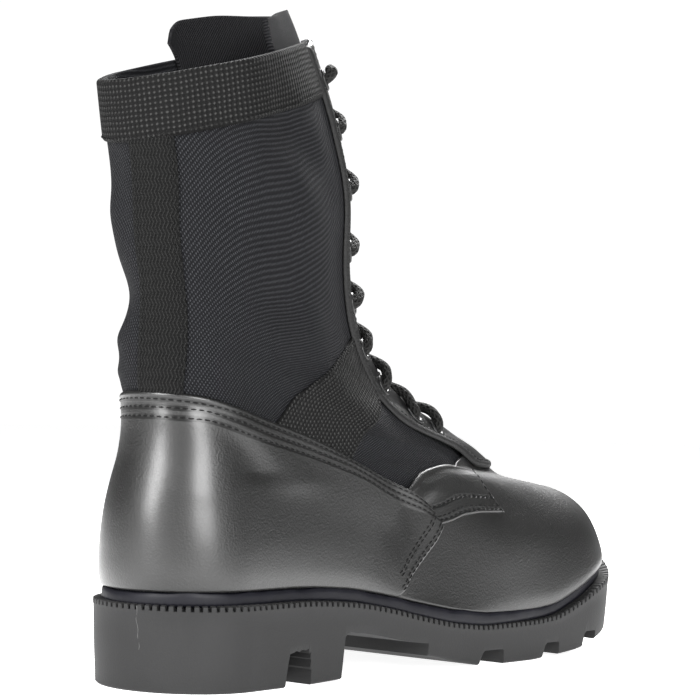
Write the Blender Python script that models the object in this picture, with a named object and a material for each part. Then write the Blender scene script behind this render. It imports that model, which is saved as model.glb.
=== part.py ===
"""Jungle boot, right foot: a leather foot and a nylon shaft on a direct-moulded lugged rubber sole.

Axes: +X to the toe, +Y to the inner (medial) side, +Z up. The boot stands on z = 0, and the origin is
the middle of its bounding box in X and Y. Tables hold shares of the named sizes below.
"""

import math

import bmesh
import bpy
import numpy as np
from mathutils import Vector

# Driving sizes, in metres
LENGTH = 0.310  # heel back to the tip of the tread at the toe
BALL_WIDTH = 0.108  # outsole across the ball
HEEL_WIDTH = 0.077  # outsole across the heel
TOE_SWING = 0.004  # how far the toe tip lies towards the inner side

HEEL_HEIGHT = 0.0345  # floor to the rim's top at the back
FOREFOOT_HEIGHT = 0.0180  # the same under the ball
TOE_SPRING = 0.0180  # lowest tread point at the toe tip
TREAD_DEPTH = 0.0070  # forefoot lugs
ARCH_HEIGHT = 0.0200  # underside at the heel breast
HEEL_LENGTH = 0.0910  # heel back to breast
NOTCH_LENGTH = 0.0160  # side notch in the heel
NOTCH_HEIGHT = 0.0145
NOTCH_DEPTH = 0.0160
NOTCH_PLACE = 0.0560  # heel back to the notch
RIM_LEDGE = 0.0055  # bare top of the rim outside the bed
BED_RISE = 0.0031  # bed above the rim, which the upper stands on
RIM_GROOVE = 0.0012  # undercut line below the ribbed rim

SHAFT_RISE = 0.2095  # rim to collar edge at the back
UPPER_WALL = 0.0022  # nylon and lining together
LEATHER = 0.0016  # leather laid over the upper's foot
WEBBING = 0.0014  # nylon tape
BAND_WIDTH = 0.0245  # collar tape
THROAT_GAP = 0.0110  # half the opening between the facings
TONGUE_WIDTH = 0.0570  # half, at the collar
TONGUE_WALL = 0.0024
TONGUE_ABOVE = 0.0160  # tongue above the collar's front edge
INSOLE_THICK = 0.0035

EYELET_PAIRS = 9
EYELET_INNER = 0.0058  # bore
EYELET_OUTER = 0.0100
EYELET_THICK = 0.0009  # its flange
LACE = 0.0046  # round lace, diameter
CLEAR = 0.0003  # between touching pieces

for item in list(bpy.data.objects):
    bpy.data.objects.remove(item, do_unlink=True)


def smooth(t):
    t = np.clip(t, 0.0, 1.0)
    return t * t * (3.0 - 2.0 * t)


def curve_through(knots, values, at):
    """Monotone cubic through the rows of a table: knots (n), values (n, c), at (m) gives (m, c)."""
    knots = np.asarray(knots, float)
    values = np.asarray(values, float).reshape(len(knots), -1)
    at = np.clip(np.asarray(at, float), knots[0], knots[-1])
    step = np.diff(knots)[:, None]
    slope = np.diff(values, axis=0) / step
    tangent = np.zeros_like(values)
    tangent[0], tangent[-1] = slope[0], slope[-1]
    before, after = slope[:-1], slope[1:]
    same = before * after > 0
    w1 = 2 * step[1:] + step[:-1]
    w2 = step[1:] + 2 * step[:-1]
    mean = (w1 + w2) / (w1 / np.where(same, before, 1.0) + w2 / np.where(same, after, 1.0))
    tangent[1:-1] = np.where(same, mean, 0.0)
    i = np.clip(np.searchsorted(knots, at, side="right") - 1, 0, len(knots) - 2)
    h = step[i]
    t = ((at - knots[i]) / h[:, 0])[:, None]
    return (
        (1 + 2 * t) * (1 - t) ** 2 * values[i]
        + t * (1 - t) ** 2 * h * tangent[i]
        + t * t * (3 - 2 * t) * values[i + 1]
        + t * t * (t - 1) * h * tangent[i + 1]
    )


# The last: sections from the rim up to the collar. Each row holds its name, then back_x, back_up, front_x and
# front_up, the section's ends: x is a share of LENGTH, and up a share of SHAFT_RISE above the rim. Then come
# back_end and front_end, the lengths of the rounded ends, as shares of LENGTH, and the half widths at
# STATIONS, outer side then inner side: the first two are shares of HEEL_WIDTH, the others of BALL_WIDTH.
STATIONS = (0.0, 0.13, 0.32, 0.50, 0.68, 0.86, 1.0)
SECTIONS = (
    ("rim", 0.000, 0.000, 1.006, 0.000, 0.116, 0.161,
     (0.508, 0.522, 0.416, 0.452, 0.471), (0.508, 0.455, 0.350, 0.478, 0.430)),
    ("feather", 0.012, 0.018, 0.992, 0.025, 0.106, 0.176,
     (0.435, 0.455, 0.391, 0.425, 0.425), (0.425, 0.375, 0.302, 0.425, 0.390)),
    ("cheek", 0.004, 0.048, 0.999, 0.028, 0.112, 0.182,
     (0.452, 0.468, 0.381, 0.439, 0.447), (0.434, 0.385, 0.306, 0.442, 0.410)),
    ("swell", 0.004, 0.098, 0.991, 0.071, 0.112, 0.184,
     (0.448, 0.458, 0.363, 0.429, 0.433), (0.431, 0.385, 0.310, 0.432, 0.400)),
    ("side", 0.006, 0.160, 0.974, 0.127, 0.110, 0.194,
     (0.428, 0.437, 0.342, 0.412, 0.397), (0.411, 0.379, 0.305, 0.396, 0.356)),
    ("toe_top", 0.013, 0.222, 0.928, 0.188, 0.106, 0.215,
     (0.400, 0.420, 0.322, 0.353, 0.328), (0.380, 0.370, 0.293, 0.335, 0.300)),
    ("crown", 0.023, 0.282, 0.863, 0.230, 0.102, 0.240,
     (0.380, 0.405, 0.306, 0.310, 0.280), (0.351, 0.351, 0.280, 0.285, 0.255)),
    ("vamp", 0.027, 0.334, 0.796, 0.276, 0.098, 0.250,
     (0.368, 0.395, 0.294, 0.275, 0.238), (0.339, 0.346, 0.270, 0.252, 0.215)),
    ("throat", 0.028, 0.378, 0.739, 0.333, 0.096, 0.250,
     (0.362, 0.390, 0.294, 0.270, 0.230), (0.351, 0.364, 0.271, 0.232, 0.194)),
    ("instep", 0.021, 0.420, 0.654, 0.402, 0.096, 0.240,
     (0.362, 0.392, 0.287, 0.250, 0.210), (0.370, 0.388, 0.277, 0.228, 0.188)),
    ("facing", 0.018, 0.470, 0.565, 0.448, 0.098, 0.220,
     (0.365, 0.398, 0.280, 0.235, 0.195), (0.374, 0.396, 0.282, 0.236, 0.198)),
    ("bend", 0.017, 0.530, 0.483, 0.497, 0.100, 0.190,
     (0.372, 0.412, 0.286, 0.243, 0.203), (0.380, 0.412, 0.297, 0.260, 0.220)),
    ("ankle", 0.013, 0.610, 0.420, 0.582, 0.104, 0.165,
     (0.382, 0.430, 0.296, 0.260, 0.220), (0.386, 0.428, 0.312, 0.288, 0.250)),
    ("shin", 0.002, 0.710, 0.391, 0.697, 0.108, 0.155,
     (0.395, 0.448, 0.316, 0.285, 0.247), (0.399, 0.448, 0.330, 0.308, 0.272)),
    ("shaft", -0.004, 0.810, 0.381, 0.834, 0.110, 0.150,
     (0.405, 0.462, 0.329, 0.304, 0.268), (0.408, 0.461, 0.339, 0.320, 0.286)),
    ("cuff", -0.016, 0.900, 0.350, 0.977, 0.112, 0.148,
     (0.412, 0.470, 0.325, 0.293, 0.259), (0.418, 0.474, 0.346, 0.328, 0.296)),
    ("collar", -0.027, 0.985, 0.300, 1.135, 0.114, 0.146,
     (0.420, 0.478, 0.310, 0.257, 0.223), (0.425, 0.481, 0.352, 0.336, 0.304)),
)
NAMES = [row[0] for row in SECTIONS]

# place as a share of LENGTH; rim height as a share of HEEL_HEIGHT - FOREFOOT_HEIGHT, above the ball;
# lowest tread as a share of TOE_SPRING
RIM_LINE = ((0.0, 1.0, 0.0), (0.20, 1.0, 0.0), (0.30, 0.90, 0.05), (0.38, 0.68, 0.30), (0.46, 0.36, 0.39),
            (0.54, 0.10, 0.14), (0.60, 0.01, 0.0), (0.70, 0.03, 0.0), (0.755, 0.10, 0.055), (0.82, 0.43, 0.14),
            (0.88, 0.83, 0.37), (0.94, 1.14, 0.65), (1.0, 1.70, 1.0))


def rim_height(x):
    line = np.array(RIM_LINE)
    share = curve_through(line[:, 0], line[:, 1], np.ravel(x) / LENGTH)[:, 0]
    return (FOREFOOT_HEIGHT + (HEEL_HEIGHT - FOREFOOT_HEIGHT) * share).reshape(np.shape(x))


def tread_height(x):
    line = np.array(RIM_LINE)
    share = curve_through(line[:, 0], line[:, 2], np.ravel(x) / LENGTH)[:, 0]
    return (TOE_SPRING * share).reshape(np.shape(x))


def section_sizes():
    """Each section in metres: back point, front point, end lengths, outer and inner half widths."""
    rows = []
    for _, back_x, back_up, front_x, front_up, back_end, front_end, outer, inner in SECTIONS:
        xb, xf = back_x * LENGTH, front_x * LENGTH
        widths = [HEEL_WIDTH] * 2 + [BALL_WIDTH] * 3
        sides = []
        for side in (outer, inner):
            w = [a * b for a, b in zip(side, widths)]
            sides += [w[0]] + w + [w[-1]]
        zb = rim_height(np.array(max(xb, 0.0))) + back_up * SHAFT_RISE
        zf = rim_height(np.array(xf)) + front_up * SHAFT_RISE
        rows.append([xb, float(zb), xf, float(zf), back_end * LENGTH, front_end * LENGTH] + sides)
    return np.array(rows)


ROWS = section_sizes()
# Height along the upper, 0 at the feather and 1 at the collar: the mean travel of the sections' two ends
TRAVEL = np.hypot(*np.diff(ROWS[1:, :2], axis=0).T) + np.hypot(*np.diff(ROWS[1:, 2:4], axis=0).T)
LEVELS = np.concatenate([[0.0], np.cumsum(TRAVEL)]) / TRAVEL.sum()


def level(name):
    return LEVELS[NAMES.index(name) - 1]


def loop_points(rows, u, hug=0.0, samples=200):
    """Points of sections given as rows (n, c) at girths u (n): 0 front, 0.25 outer, 0.5 back, 0.75 inner.
    hug bends a section from its straight line, 0, to the rim's own sweep, 1."""
    n = len(rows)
    outer = (u % 1.0) < 0.5
    share = np.where(outer, (u % 1.0) / 0.5, (1.0 - u % 1.0) / 0.5)
    angle = np.linspace(0.0, math.pi, samples)
    s = 0.5 + 0.5 * np.cos(angle)[None, :]
    table = np.where(outer[:, None], rows[:, 6:13], rows[:, 13:20])
    width = np.zeros((n, samples))
    place = np.array(STATIONS)
    for k in range(n):
        width[k] = curve_through(place, table[k], s[0])[:, 0]
    length = rows[:, 2] - rows[:, 0]
    back = np.clip(s * (length / rows[:, 4])[:, None], 0, 1)
    front = np.clip((1 - s) * (length / rows[:, 5])[:, None], 0, 1)
    width *= (1 - (1 - back) ** 2.0) ** 0.5 * (1 - (1 - front) ** 2.25) ** (1 / 2.25)
    along = s * np.hypot(length, rows[:, 3] - rows[:, 1])[:, None]
    pieces = np.hypot(np.diff(along), np.diff(width))
    arc = np.concatenate([np.zeros((n, 1)), np.cumsum(pieces, axis=1)], axis=1)
    target = share * arc[:, -1]
    i = np.clip((arc < target[:, None]).sum(axis=1) - 1, 0, samples - 2)
    r = np.arange(n)
    f = (target - arc[r, i]) / np.maximum(arc[r, i + 1] - arc[r, i], 1e-12)
    s_at = s[0][i] * (1 - f) + s[0][i + 1] * f
    w_at = width[r, i] * (1 - f) + width[r, i + 1] * f
    x = rows[:, 0] + s_at * length
    y = np.where(outer, -w_at, w_at) + TOE_SWING * np.clip(x / LENGTH, 0, 1) ** 2
    chord = rim_height(rows[:, 0]) * (1 - s_at) + rim_height(rows[:, 2]) * s_at
    z = rows[:, 1] + s_at * (rows[:, 3] - rows[:, 1]) + hug * (rim_height(x) - chord)
    return np.stack([x, y, z], axis=1)


def girth_points(u, v):
    """The upper's outer face, before anything is laid over it."""
    u, v = np.broadcast_arrays(np.asarray(u, float), np.asarray(v, float))
    rows = curve_through(LEVELS, ROWS[1:], v.ravel())
    hug = 1.0 - smooth(v.ravel() / level("vamp"))
    return loop_points(rows, u.ravel(), hug).reshape(u.shape + (3,))


def upper_points(u, v, out=0.0):
    """The same face moved outwards by out, along its own normal."""
    u, v = np.broadcast_arrays(np.asarray(u, float), np.asarray(v, float))
    points = girth_points(u, v)
    du, dv = 0.004, 0.006
    low, high = np.clip(v - dv, 0, 1), np.clip(v + dv, 0, 1)
    across = girth_points(u + du, v) - girth_points(u - du, v)
    up = girth_points(u, high) - girth_points(u, low)
    normal = np.cross(up, across)
    normal /= np.linalg.norm(normal, axis=-1, keepdims=True) + 1e-12
    return points + normal * np.asarray(out)[..., None]


# Meshes: COLUMNS round the upper, and the levels of its rows, with None for the throat's end
COLUMNS = 40
LEVEL_ROWS = (0.0, 0.027, 0.066, 0.115, 0.170, 0.228, 0.286, None, 0.385, 0.44, 0.50, 0.56, 0.63, 0.71,
              0.80, 0.90, 1.0)
THROAT = level("throat")
ROW_LEVELS = [THROAT if v is None else v for v in LEVEL_ROWS]
THROAT_ROW = ROW_LEVELS.index(THROAT)


def make(name, verts, faces, colour, rough=0.6, metal=0.0):
    mesh = bpy.data.meshes.new(name)
    mesh.from_pydata([tuple(p) for p in verts], [], faces)
    work = bmesh.new()
    work.from_mesh(mesh)
    bmesh.ops.remove_doubles(work, verts=work.verts, dist=1e-7)
    bmesh.ops.triangulate(work, faces=work.faces)
    bmesh.ops.recalc_face_normals(work, faces=work.faces)
    if work.calc_volume(signed=True) < 0:
        bmesh.ops.reverse_faces(work, faces=work.faces)
    work.to_mesh(mesh)
    work.free()
    item = bpy.data.objects.new(name, mesh)
    bpy.context.scene.collection.objects.link(item)
    paint = bpy.data.materials.new(name)
    paint.use_nodes = True
    shader = paint.node_tree.nodes["Principled BSDF"]
    shader.inputs["Base Color"].default_value = (*colour, 1.0)
    shader.inputs["Roughness"].default_value = rough
    shader.inputs["Metallic"].default_value = metal
    mesh.materials.append(paint)
    return item


def cutter(name, verts, faces):
    item = make(name, verts, faces, (1, 0, 0))
    item.hide_render = True
    item.display_type = "WIRE"
    return item


def boolean(item, other, operation):
    step = item.modifiers.new(operation.lower(), "BOOLEAN")
    step.operation = operation
    step.object = other
    step.solver = "EXACT"


def slab(outer, inner, joined=0):
    """Closed solid between two grids of the same shape (rows, columns, 3). Up to the row joined, the first
    and the last column are the same points, so the solid goes right round there."""
    rows, columns = outer.shape[:2]
    count = rows * columns
    verts = np.concatenate([outer.reshape(-1, 3), inner.reshape(-1, 3)])
    faces = []

    def at(r, c, side):
        return side * count + r * columns + c

    last = columns - 1
    for r in range(rows - 1):
        for c in range(last):
            for side in (0, 1):
                quad = [at(r, c, side), at(r, c + 1, side), at(r + 1, c + 1, side), at(r + 1, c, side)]
                faces.append(quad if side else quad[::-1])
    for c in range(last):
        faces.append([at(0, c, 0), at(0, c + 1, 0), at(0, c + 1, 1), at(0, c, 1)])
        faces.append([at(rows - 1, c, 1), at(rows - 1, c + 1, 1), at(rows - 1, c + 1, 0), at(rows - 1, c, 0)])
    for r in range(joined, rows - 1):
        faces.append([at(r, 0, 1), at(r + 1, 0, 1), at(r + 1, 0, 0), at(r, 0, 0)])
        faces.append([at(r, last, 0), at(r + 1, last, 0), at(r + 1, last, 1), at(r, last, 1)])
    return verts, faces


def half_girth(v, side):
    """Length of the section's outer (side 0) or inner (side 1) half, front centre to back centre."""
    u = np.linspace(0, 0.5, 60) if side == 0 else 1 - np.linspace(0, 0.4999, 60)
    run = girth_points(u, np.full(60, v))
    return float(np.linalg.norm(np.diff(run, axis=0), axis=1).sum())


GIRTHS = [(v, half_girth(v, 0), half_girth(v, 1)) for v in np.linspace(0, 1, 21)]


def girth_share(v, distance, side=0):
    """Girth share of a place a distance round from the front centre line."""
    table = np.array(GIRTHS)
    return distance * 0.5 / np.interp(v, table[:, 0], table[:, 1 + side])


def throat_gap(v):
    """Half the throat's opening, along the girth: a narrow U from the throat's end up."""
    rise = np.clip((np.asarray(v, float) - THROAT) / 0.05, 0, 1)
    return THROAT_GAP * np.sqrt(1 - (1 - rise) ** 2)


def shell_grid(levels, out, open_from=THROAT):
    """Grid of the upper's face, split along the throat: columns run outer side, back, inner side."""
    grid = np.zeros((len(levels), COLUMNS + 1, 3))
    share = np.arange(COLUMNS + 1) / COLUMNS
    for r, v in enumerate(levels):
        gap = float(throat_gap(v)) if v > open_from else 0.0
        low, high = girth_share(v, gap, 0), 1 - girth_share(v, gap, 1)
        u = low + (high - low) * share
        grid[r] = upper_points(u, np.full(len(u), v), out)
        if gap == 0.0:
            grid[r, -1] = grid[r, 0]
    return grid


# upper: one wall, open at the collar, the throat and underneath
upper = make("upper", *slab(shell_grid(ROW_LEVELS, 0.0), shell_grid(ROW_LEVELS, -UPPER_WALL), THROAT_ROW),
             (0.018, 0.019, 0.024), 0.85)


def ring(name, inset, height):
    """Closed outline of a section, moved inwards by inset, at the heights that height gives."""
    u = np.arange(COLUMNS) / COLUMNS
    rows = np.repeat(ROWS[NAMES.index(name)][None, :], COLUMNS, axis=0)
    points = loop_points(rows, u)
    ahead, behind = loop_points(rows, u + 0.004), loop_points(rows, u - 0.004)
    run = (ahead - behind)[:, :2]
    run /= np.linalg.norm(run, axis=1, keepdims=True)
    points[:, 0] += run[:, 1] * inset
    points[:, 1] -= run[:, 0] * inset
    points[:, 2] = height(points[:, 0])
    return points


def stack(rings):
    """Closed solid of rings of the same number of points, with caps ruled straight across."""
    count = len(rings[0])
    verts = np.concatenate(rings)
    faces = []
    for k in range(len(rings) - 1):
        for i in range(count):
            j = (i + 1) % count
            faces.append([k * count + i, k * count + j, (k + 1) * count + j, (k + 1) * count + i])
    half = count // 2
    for base in (0, (len(rings) - 1) * count):
        for i in range(half):
            a, b = i, i + 1
            c, d = (count - b) % count, (count - a) % count
            face = [base + a, base + b, base + c, base + d]
            faces.append(list(dict.fromkeys(face)))
    return verts, faces


def prism(profile, y0, y1, taper=0.0):
    """Solid of an XZ profile run from y0 to y1; taper shrinks the profile's width at y1."""
    profile = np.array(profile)
    count = len(profile)
    middle = profile[:, 0].mean()
    near = np.column_stack([profile[:, 0], np.full(count, y0), profile[:, 1]])
    narrowed = middle + (profile[:, 0] - middle) * (1 - taper)
    far = np.column_stack([narrowed, np.full(count, y1), profile[:, 1]])
    faces = [list(range(count)), list(range(2 * count - 1, count - 1, -1))]
    for i in range(count):
        j = (i + 1) % count
        faces.append([i, j, count + j, count + i])
    return np.concatenate([near, far]), faces


def join(solids):
    verts, faces, base = [], [], 0
    for points, quads in solids:
        verts.append(points)
        faces += [[base + i for i in quad] for quad in quads]
        base += len(points)
    return np.concatenate(verts), faces


outsole = make("outsole", *stack([
    ring("rim", 0.0018, tread_height),
    ring("rim", 0.0004, lambda x: tread_height(x) + 0.75 * (rim_height(x) - tread_height(x))),
    ring("rim", 0.0, lambda x: rim_height(x) - RIM_GROOVE),
    ring("rim", 0.0005, rim_height),
    ring("rim", RIM_LEDGE, rim_height),
    ring("rim", RIM_LEDGE + 0.0006, lambda x: rim_height(x) + BED_RISE),
]), (0.075, 0.075, 0.078), 0.75)

# Lug grooves: from and to as shares of LENGTH, depth as a share of TREAD_DEPTH, length inwards as a share
# of BALL_WIDTH, how far the inner end lies forward as a share of LENGTH.
GROOVES = (
    (0.556, 0.632, 0.95, 0.33, 0.020),
    (0.712, 0.768, 0.95, 0.33, 0.018),
    (0.818, 0.872, 0.95, 0.29, 0.014),
    (0.925, 0.966, 0.80, 0.20, 0.006),
)
below = -0.002
arch_end = 0.468 * LENGTH
arch = [(HEEL_LENGTH, below), (HEEL_LENGTH + 0.0018, ARCH_HEIGHT * 0.94), (HEEL_LENGTH + 0.0045, ARCH_HEIGHT)]
for t in np.linspace(0.15, 1.0, 7):
    x = HEEL_LENGTH + (arch_end - HEEL_LENGTH) * t
    arch.append((float(x), float(ARCH_HEIGHT - (ARCH_HEIGHT - TREAD_DEPTH * 1.75) * smooth(t * 0.92))))
arch.append((arch_end + 0.0012, below))
half = max(BALL_WIDTH, HEEL_WIDTH)
cuts = [prism(arch[::-1], -half, half)]
for side in (-1, 1):
    reach = HEEL_WIDTH / 2 - NOTCH_DEPTH
    notch = [(NOTCH_PLACE, below), (NOTCH_PLACE + 0.0016, NOTCH_HEIGHT),
             (NOTCH_PLACE + NOTCH_LENGTH - 0.0012, NOTCH_HEIGHT - 0.0004),
             (NOTCH_PLACE + NOTCH_LENGTH, below)]
    cuts.append(prism(notch, side * half, side * reach))
    for start, end, depth, inwards, forward in GROOVES:
        x0, x1 = start * LENGTH, end * LENGTH
        slope = 0.16 * (x1 - x0)
        top = float(tread_height(np.array((x0 + x1) / 2))) + depth * TREAD_DEPTH
        outline = np.array([(x0, below), (x0 + slope, top), (x1 - slope * 0.5, top), (x1, below)])
        solid, faces = prism(outline, side * half, side * (BALL_WIDTH / 2 - inwards * BALL_WIDTH), 0.25)
        solid[4:, 0] += forward * LENGTH
        cuts.append((solid, faces))
boolean(outsole, cutter("sole_cuts", *join(cuts)), "DIFFERENCE")


def insole_ring(inset, lift):
    return ring("feather", inset, lambda x: rim_height(x) + BED_RISE + lift)


insole = make("insole", *stack([
    insole_ring(UPPER_WALL + 0.0012, CLEAR * 2),
    insole_ring(UPPER_WALL + 0.0012, CLEAR * 2 + INSOLE_THICK),
]), (0.03, 0.03, 0.03), 0.9)


# Tongue: how far its top stands above the collar, as a share of TONGUE_ABOVE, from outer to inner edge
TONGUE_TOP = ((-1.0, 0.90), (-0.6, 0.88), (-0.25, 0.88), (0.0, 0.78), (0.25, 0.86), (0.6, 1.0), (0.8, 1.0),
              (0.92, 0.82), (1.0, 0.45))


def tongue_grid(out):
    """Rows from the throat's end to the collar, then straight on above it."""
    levels = [v for v in ROW_LEVELS if v > THROAT]
    levels[0:0] = [THROAT + 0.012]
    lift = [0.5, 1.0]
    columns = 11
    across = np.linspace(-1, 1, columns)
    grid = np.zeros((len(levels) + len(lift), columns, 3))
    for r, v in enumerate(levels):
        widen = smooth((v - THROAT) / (1 - THROAT))
        reach = TONGUE_WIDTH * (0.30 + 0.70 * widen)
        sides = girth_share(v, reach * -across, 0), 1 - girth_share(v, reach * across, 1)
        u = np.where(across < 0, *sides) % 1.0
        grid[r] = upper_points(u, np.full(columns, v), out)
    up = np.array([ROWS[-1, 2] - ROWS[-2, 2], 0.0, ROWS[-1, 3] - ROWS[-2, 3]])
    up /= np.linalg.norm(up)
    for k, share in enumerate(lift):
        top = np.interp(across, *np.array(TONGUE_TOP).T)
        grid[len(levels) + k] = grid[len(levels) - 1] + up * (TONGUE_ABOVE * share * top)[:, None]
    return grid


tongue_out = -(UPPER_WALL + CLEAR * 3)
tongue = make("tongue", *slab(tongue_grid(tongue_out), tongue_grid(tongue_out - TONGUE_WALL)),
              (0.012, 0.012, 0.014), 0.9)

# What is laid over the upper. Each overlay is a shell of the upper's own grid, cut to its outline by thick
# patches of the same face.
THICK_OUT, THICK_IN = 0.0075, -0.0012


def patch(name, u, v, lift=0.0):
    """Thick cutter over the girth and level grids u and v; lift runs its top edge past the collar."""
    outer, inner = upper_points(u, v, THICK_OUT), upper_points(u, v, THICK_IN)
    if lift:
        for grid in (outer, inner):
            up = grid[-1] - grid[-2]
            grid[-1] += up / np.linalg.norm(up, axis=-1, keepdims=True) * lift
    return cutter(name, *slab(outer, inner))


def overlay(name, levels, thickness, colour, rough, keep, drop=()):
    item = make(name, *slab(shell_grid(levels, CLEAR + thickness), shell_grid(levels, CLEAR),
                            levels.index(THROAT) if THROAT in levels else 0), colour, rough)
    boolean(item, keep, "INTERSECT")
    for other in drop:
        boolean(item, other, "DIFFERENCE")
    return item


def levels_between(low, high):
    return [v for v in ROW_LEVELS if low <= v <= high]


def drop_level(u, distance):
    """The level that lies a distance below the collar's edge, along the face."""
    v = np.linspace(0.7, 1.0, 40)
    run = girth_points(np.full(40, u), v)
    length = np.concatenate([[0], np.cumsum(np.linalg.norm(np.diff(run[::-1], axis=0), axis=1))])
    return float(np.interp(distance, length, v[::-1]))


BLACK_LEATHER, BLACK_TAPE = (0.02, 0.02, 0.021), (0.035, 0.035, 0.036)



def beside(w, d, steps=10):
    """Girth and level of the places a distance d square to the front centre line, from its level w; minus d is
    the inner side."""
    w, d = np.broadcast_arrays(np.asarray(w, float), np.asarray(d, float))
    u, v = np.zeros(w.shape), w.copy()
    run = girth_points(u, np.clip(w + 0.004, 0, 1)) - girth_points(u, np.clip(w - 0.004, 0, 1))
    step = 0.002
    for _ in range(steps):
        low, high = np.clip(v - step, 0, 1), np.clip(v + step, 0, 1)
        along_u = (girth_points(u + step, v) - girth_points(u - step, v)) / (2 * step)
        along_v = (girth_points(u, high) - girth_points(u, low)) / (high - low)[..., None]
        across = np.cross(np.cross(along_v, along_u), run)
        across /= np.linalg.norm(across, axis=-1, keepdims=True)
        across *= np.sign((across * along_u).sum(-1) * np.where(d < 0, -1, 1))[..., None]
        move = across * (np.abs(d) / steps)[..., None]
        a, b, c = (along_u**2).sum(-1), (along_u * along_v).sum(-1), (along_v**2).sum(-1)
        e, f = (move * along_u).sum(-1), (move * along_v).sum(-1)
        u = u + (e * c - f * b) / (a * c - b * b)
        v = np.clip(v + (a * f - b * e) / (a * c - b * b), 0, 1)
    return u, v


# Facings: strips beside the throat, from their free tips over the vamp up to the collar. Each row holds a level
# on the front centre line and the distance beside it of the facing's outer edge.
FACING = (
    (0.352, 0.0270), (0.372, 0.0300), (0.409, 0.0290), (0.445, 0.0310), (0.486, 0.0342), (0.525, 0.0362),
    (0.555, 0.0335), (0.585, 0.0290), (0.620, 0.0276), (0.680, 0.0280), (0.740, 0.0288), (0.820, 0.0300),
    (0.900, 0.0306), (0.955, 0.0298), (1.0, 0.0280),
)
TIP_INSET = 0.0055  # tip's inner edge from the centre line


def facing_grid(side, grow):
    table = np.array(FACING)
    levels = table[:, 0].copy()
    levels[0] -= grow * 4
    inner = np.maximum(throat_gap(levels), TIP_INSET) + 0.0006 - grow
    inner_u = girth_share(levels, inner, side)
    outer_u, outer_v = beside(levels, table[:, 1] + grow if side == 0 else -table[:, 1] - grow)
    share = np.linspace(0, 1, 5)[None, :]
    u = inner_u[:, None] * (1 - share) + np.abs(outer_u)[:, None] * share
    v = levels[:, None] * (1 - share) + outer_v[:, None] * share
    return u if side == 0 else 1 - u, v


facings, facing_room = [], []
for side, word in ((0, "outer"), (1, "inner")):
    keep = patch("facing_outline_" + word, *facing_grid(side, 0.0), lift=0.004)
    facing_room.append(patch("facing_room_" + word, *facing_grid(side, 0.0005), lift=0.004))
    facings.append(overlay("facing_" + word, levels_between(0.23, 1.0), LEATHER, BLACK_LEATHER, 0.4, keep))

# Quarter: rows from the wing's front edge to the heel's centre. Each holds its place in the row, the girth and
# level of the lower edge, and the girth and level of the top edge.
QUARTER = (
    (0.00, 0.164, 0.136, 0.112, 0.262),
    (0.07, 0.192, 0.136, 0.150, 0.276),
    (0.14, 0.222, 0.126, 0.196, 0.246),
    (0.20, 0.243, 0.112, 0.232, 0.207),
    (0.26, 0.262, 0.080, 0.256, 0.166),
    (0.33, 0.281, 0.044, 0.277, 0.188),
    (0.40, 0.300, 0.004, 0.294, 0.221),
    (0.50, 0.332, 0.004, 0.311, 0.262),
    (0.60, 0.365, 0.004, 0.350, 0.294),
    (0.72, 0.405, 0.004, 0.395, 0.316),
    (0.86, 0.455, 0.004, 0.450, 0.352),
    (1.00, 0.500, 0.004, 0.500, 0.357),
)


def quarter_grid(grow=0.0):
    table = np.array(QUARTER)
    place = np.linspace(0, 1, 14)
    edge = curve_through(table[:, 0], table[:, 1:], place)
    share = np.linspace(-grow * 8, 1 + grow * 8, 5)[:, None]
    u = edge[:, 0] * (1 - share) + edge[:, 2] * share
    v = np.clip(edge[:, 1] * (1 - share) + edge[:, 3] * share, 0.003, 1)
    if grow:
        u[:, 0] -= grow * 2.2
    return np.concatenate([u, 1 - u[:, -2::-1]], axis=1), np.concatenate([v, v[:, -2::-1]], axis=1)


quarter_room = patch("quarter_room", *quarter_grid(0.0008))
quarter = overlay("quarter", levels_between(0, 0.43), LEATHER, BLACK_LEATHER, 0.38,
                  patch("quarter_outline", *quarter_grid()), facing_room)

# Vamp: level and girth share of its side edge, just under the quarter's front edge
VAMP = ((0.004, 0.301), (0.045, 0.282), (0.080, 0.263), (0.112, 0.244), (0.128, 0.222), (0.138, 0.190),
        (0.150, 0.168), (0.200, 0.160), (0.240, 0.145), (0.280, 0.120), (0.335, 0.070))
table = np.array(VAMP)
v = np.repeat(table[:, 0][:, None], 13, axis=1)
u = np.linspace(-1, 1, 13)[None, :] * table[:, 1][:, None]
vamp = overlay("vamp", levels_between(0, 0.35), LEATHER, BLACK_LEATHER, 0.38,
               patch("vamp_outline", u, v), [quarter_room] + facing_room)


def band_grid(grow):
    """The collar band, from one facing round the back to the other."""
    u = np.linspace(0.085, 0.915, 19)
    low = np.array([drop_level(a, BAND_WIDTH + grow) for a in u])
    share = np.linspace(0, 1, 3)[:, None]
    return np.repeat(u[None, :], 3, axis=0), low + (1 - low) * share


collar_band = overlay("collar_band", levels_between(0.79, 1.0), WEBBING, BLACK_TAPE, 0.8,
                      patch("band_outline", *band_grid(0.0), lift=0.004), facing_room)
band_room = patch("band_room", *band_grid(0.0005), lift=0.004)


def run_of_tape(name, first, second, drop):
    """Tape between two edges, each given as rows of (girth, level)."""
    lines = []
    for edge in (first, second):
        edge = np.array(edge, float)
        lines.append(curve_through(np.linspace(0, 1, len(edge)), edge, np.linspace(0, 1, 7)))
    share = np.linspace(0, 1, 4)[None, :, None]
    grid = lines[0][:, None] * (1 - share) + lines[1][:, None] * share
    return overlay(name, levels_between(0.17, 1.0), WEBBING, BLACK_TAPE, 0.8,
                   patch(name + "_outline", grid[..., 0], grid[..., 1]), drop)


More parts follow.
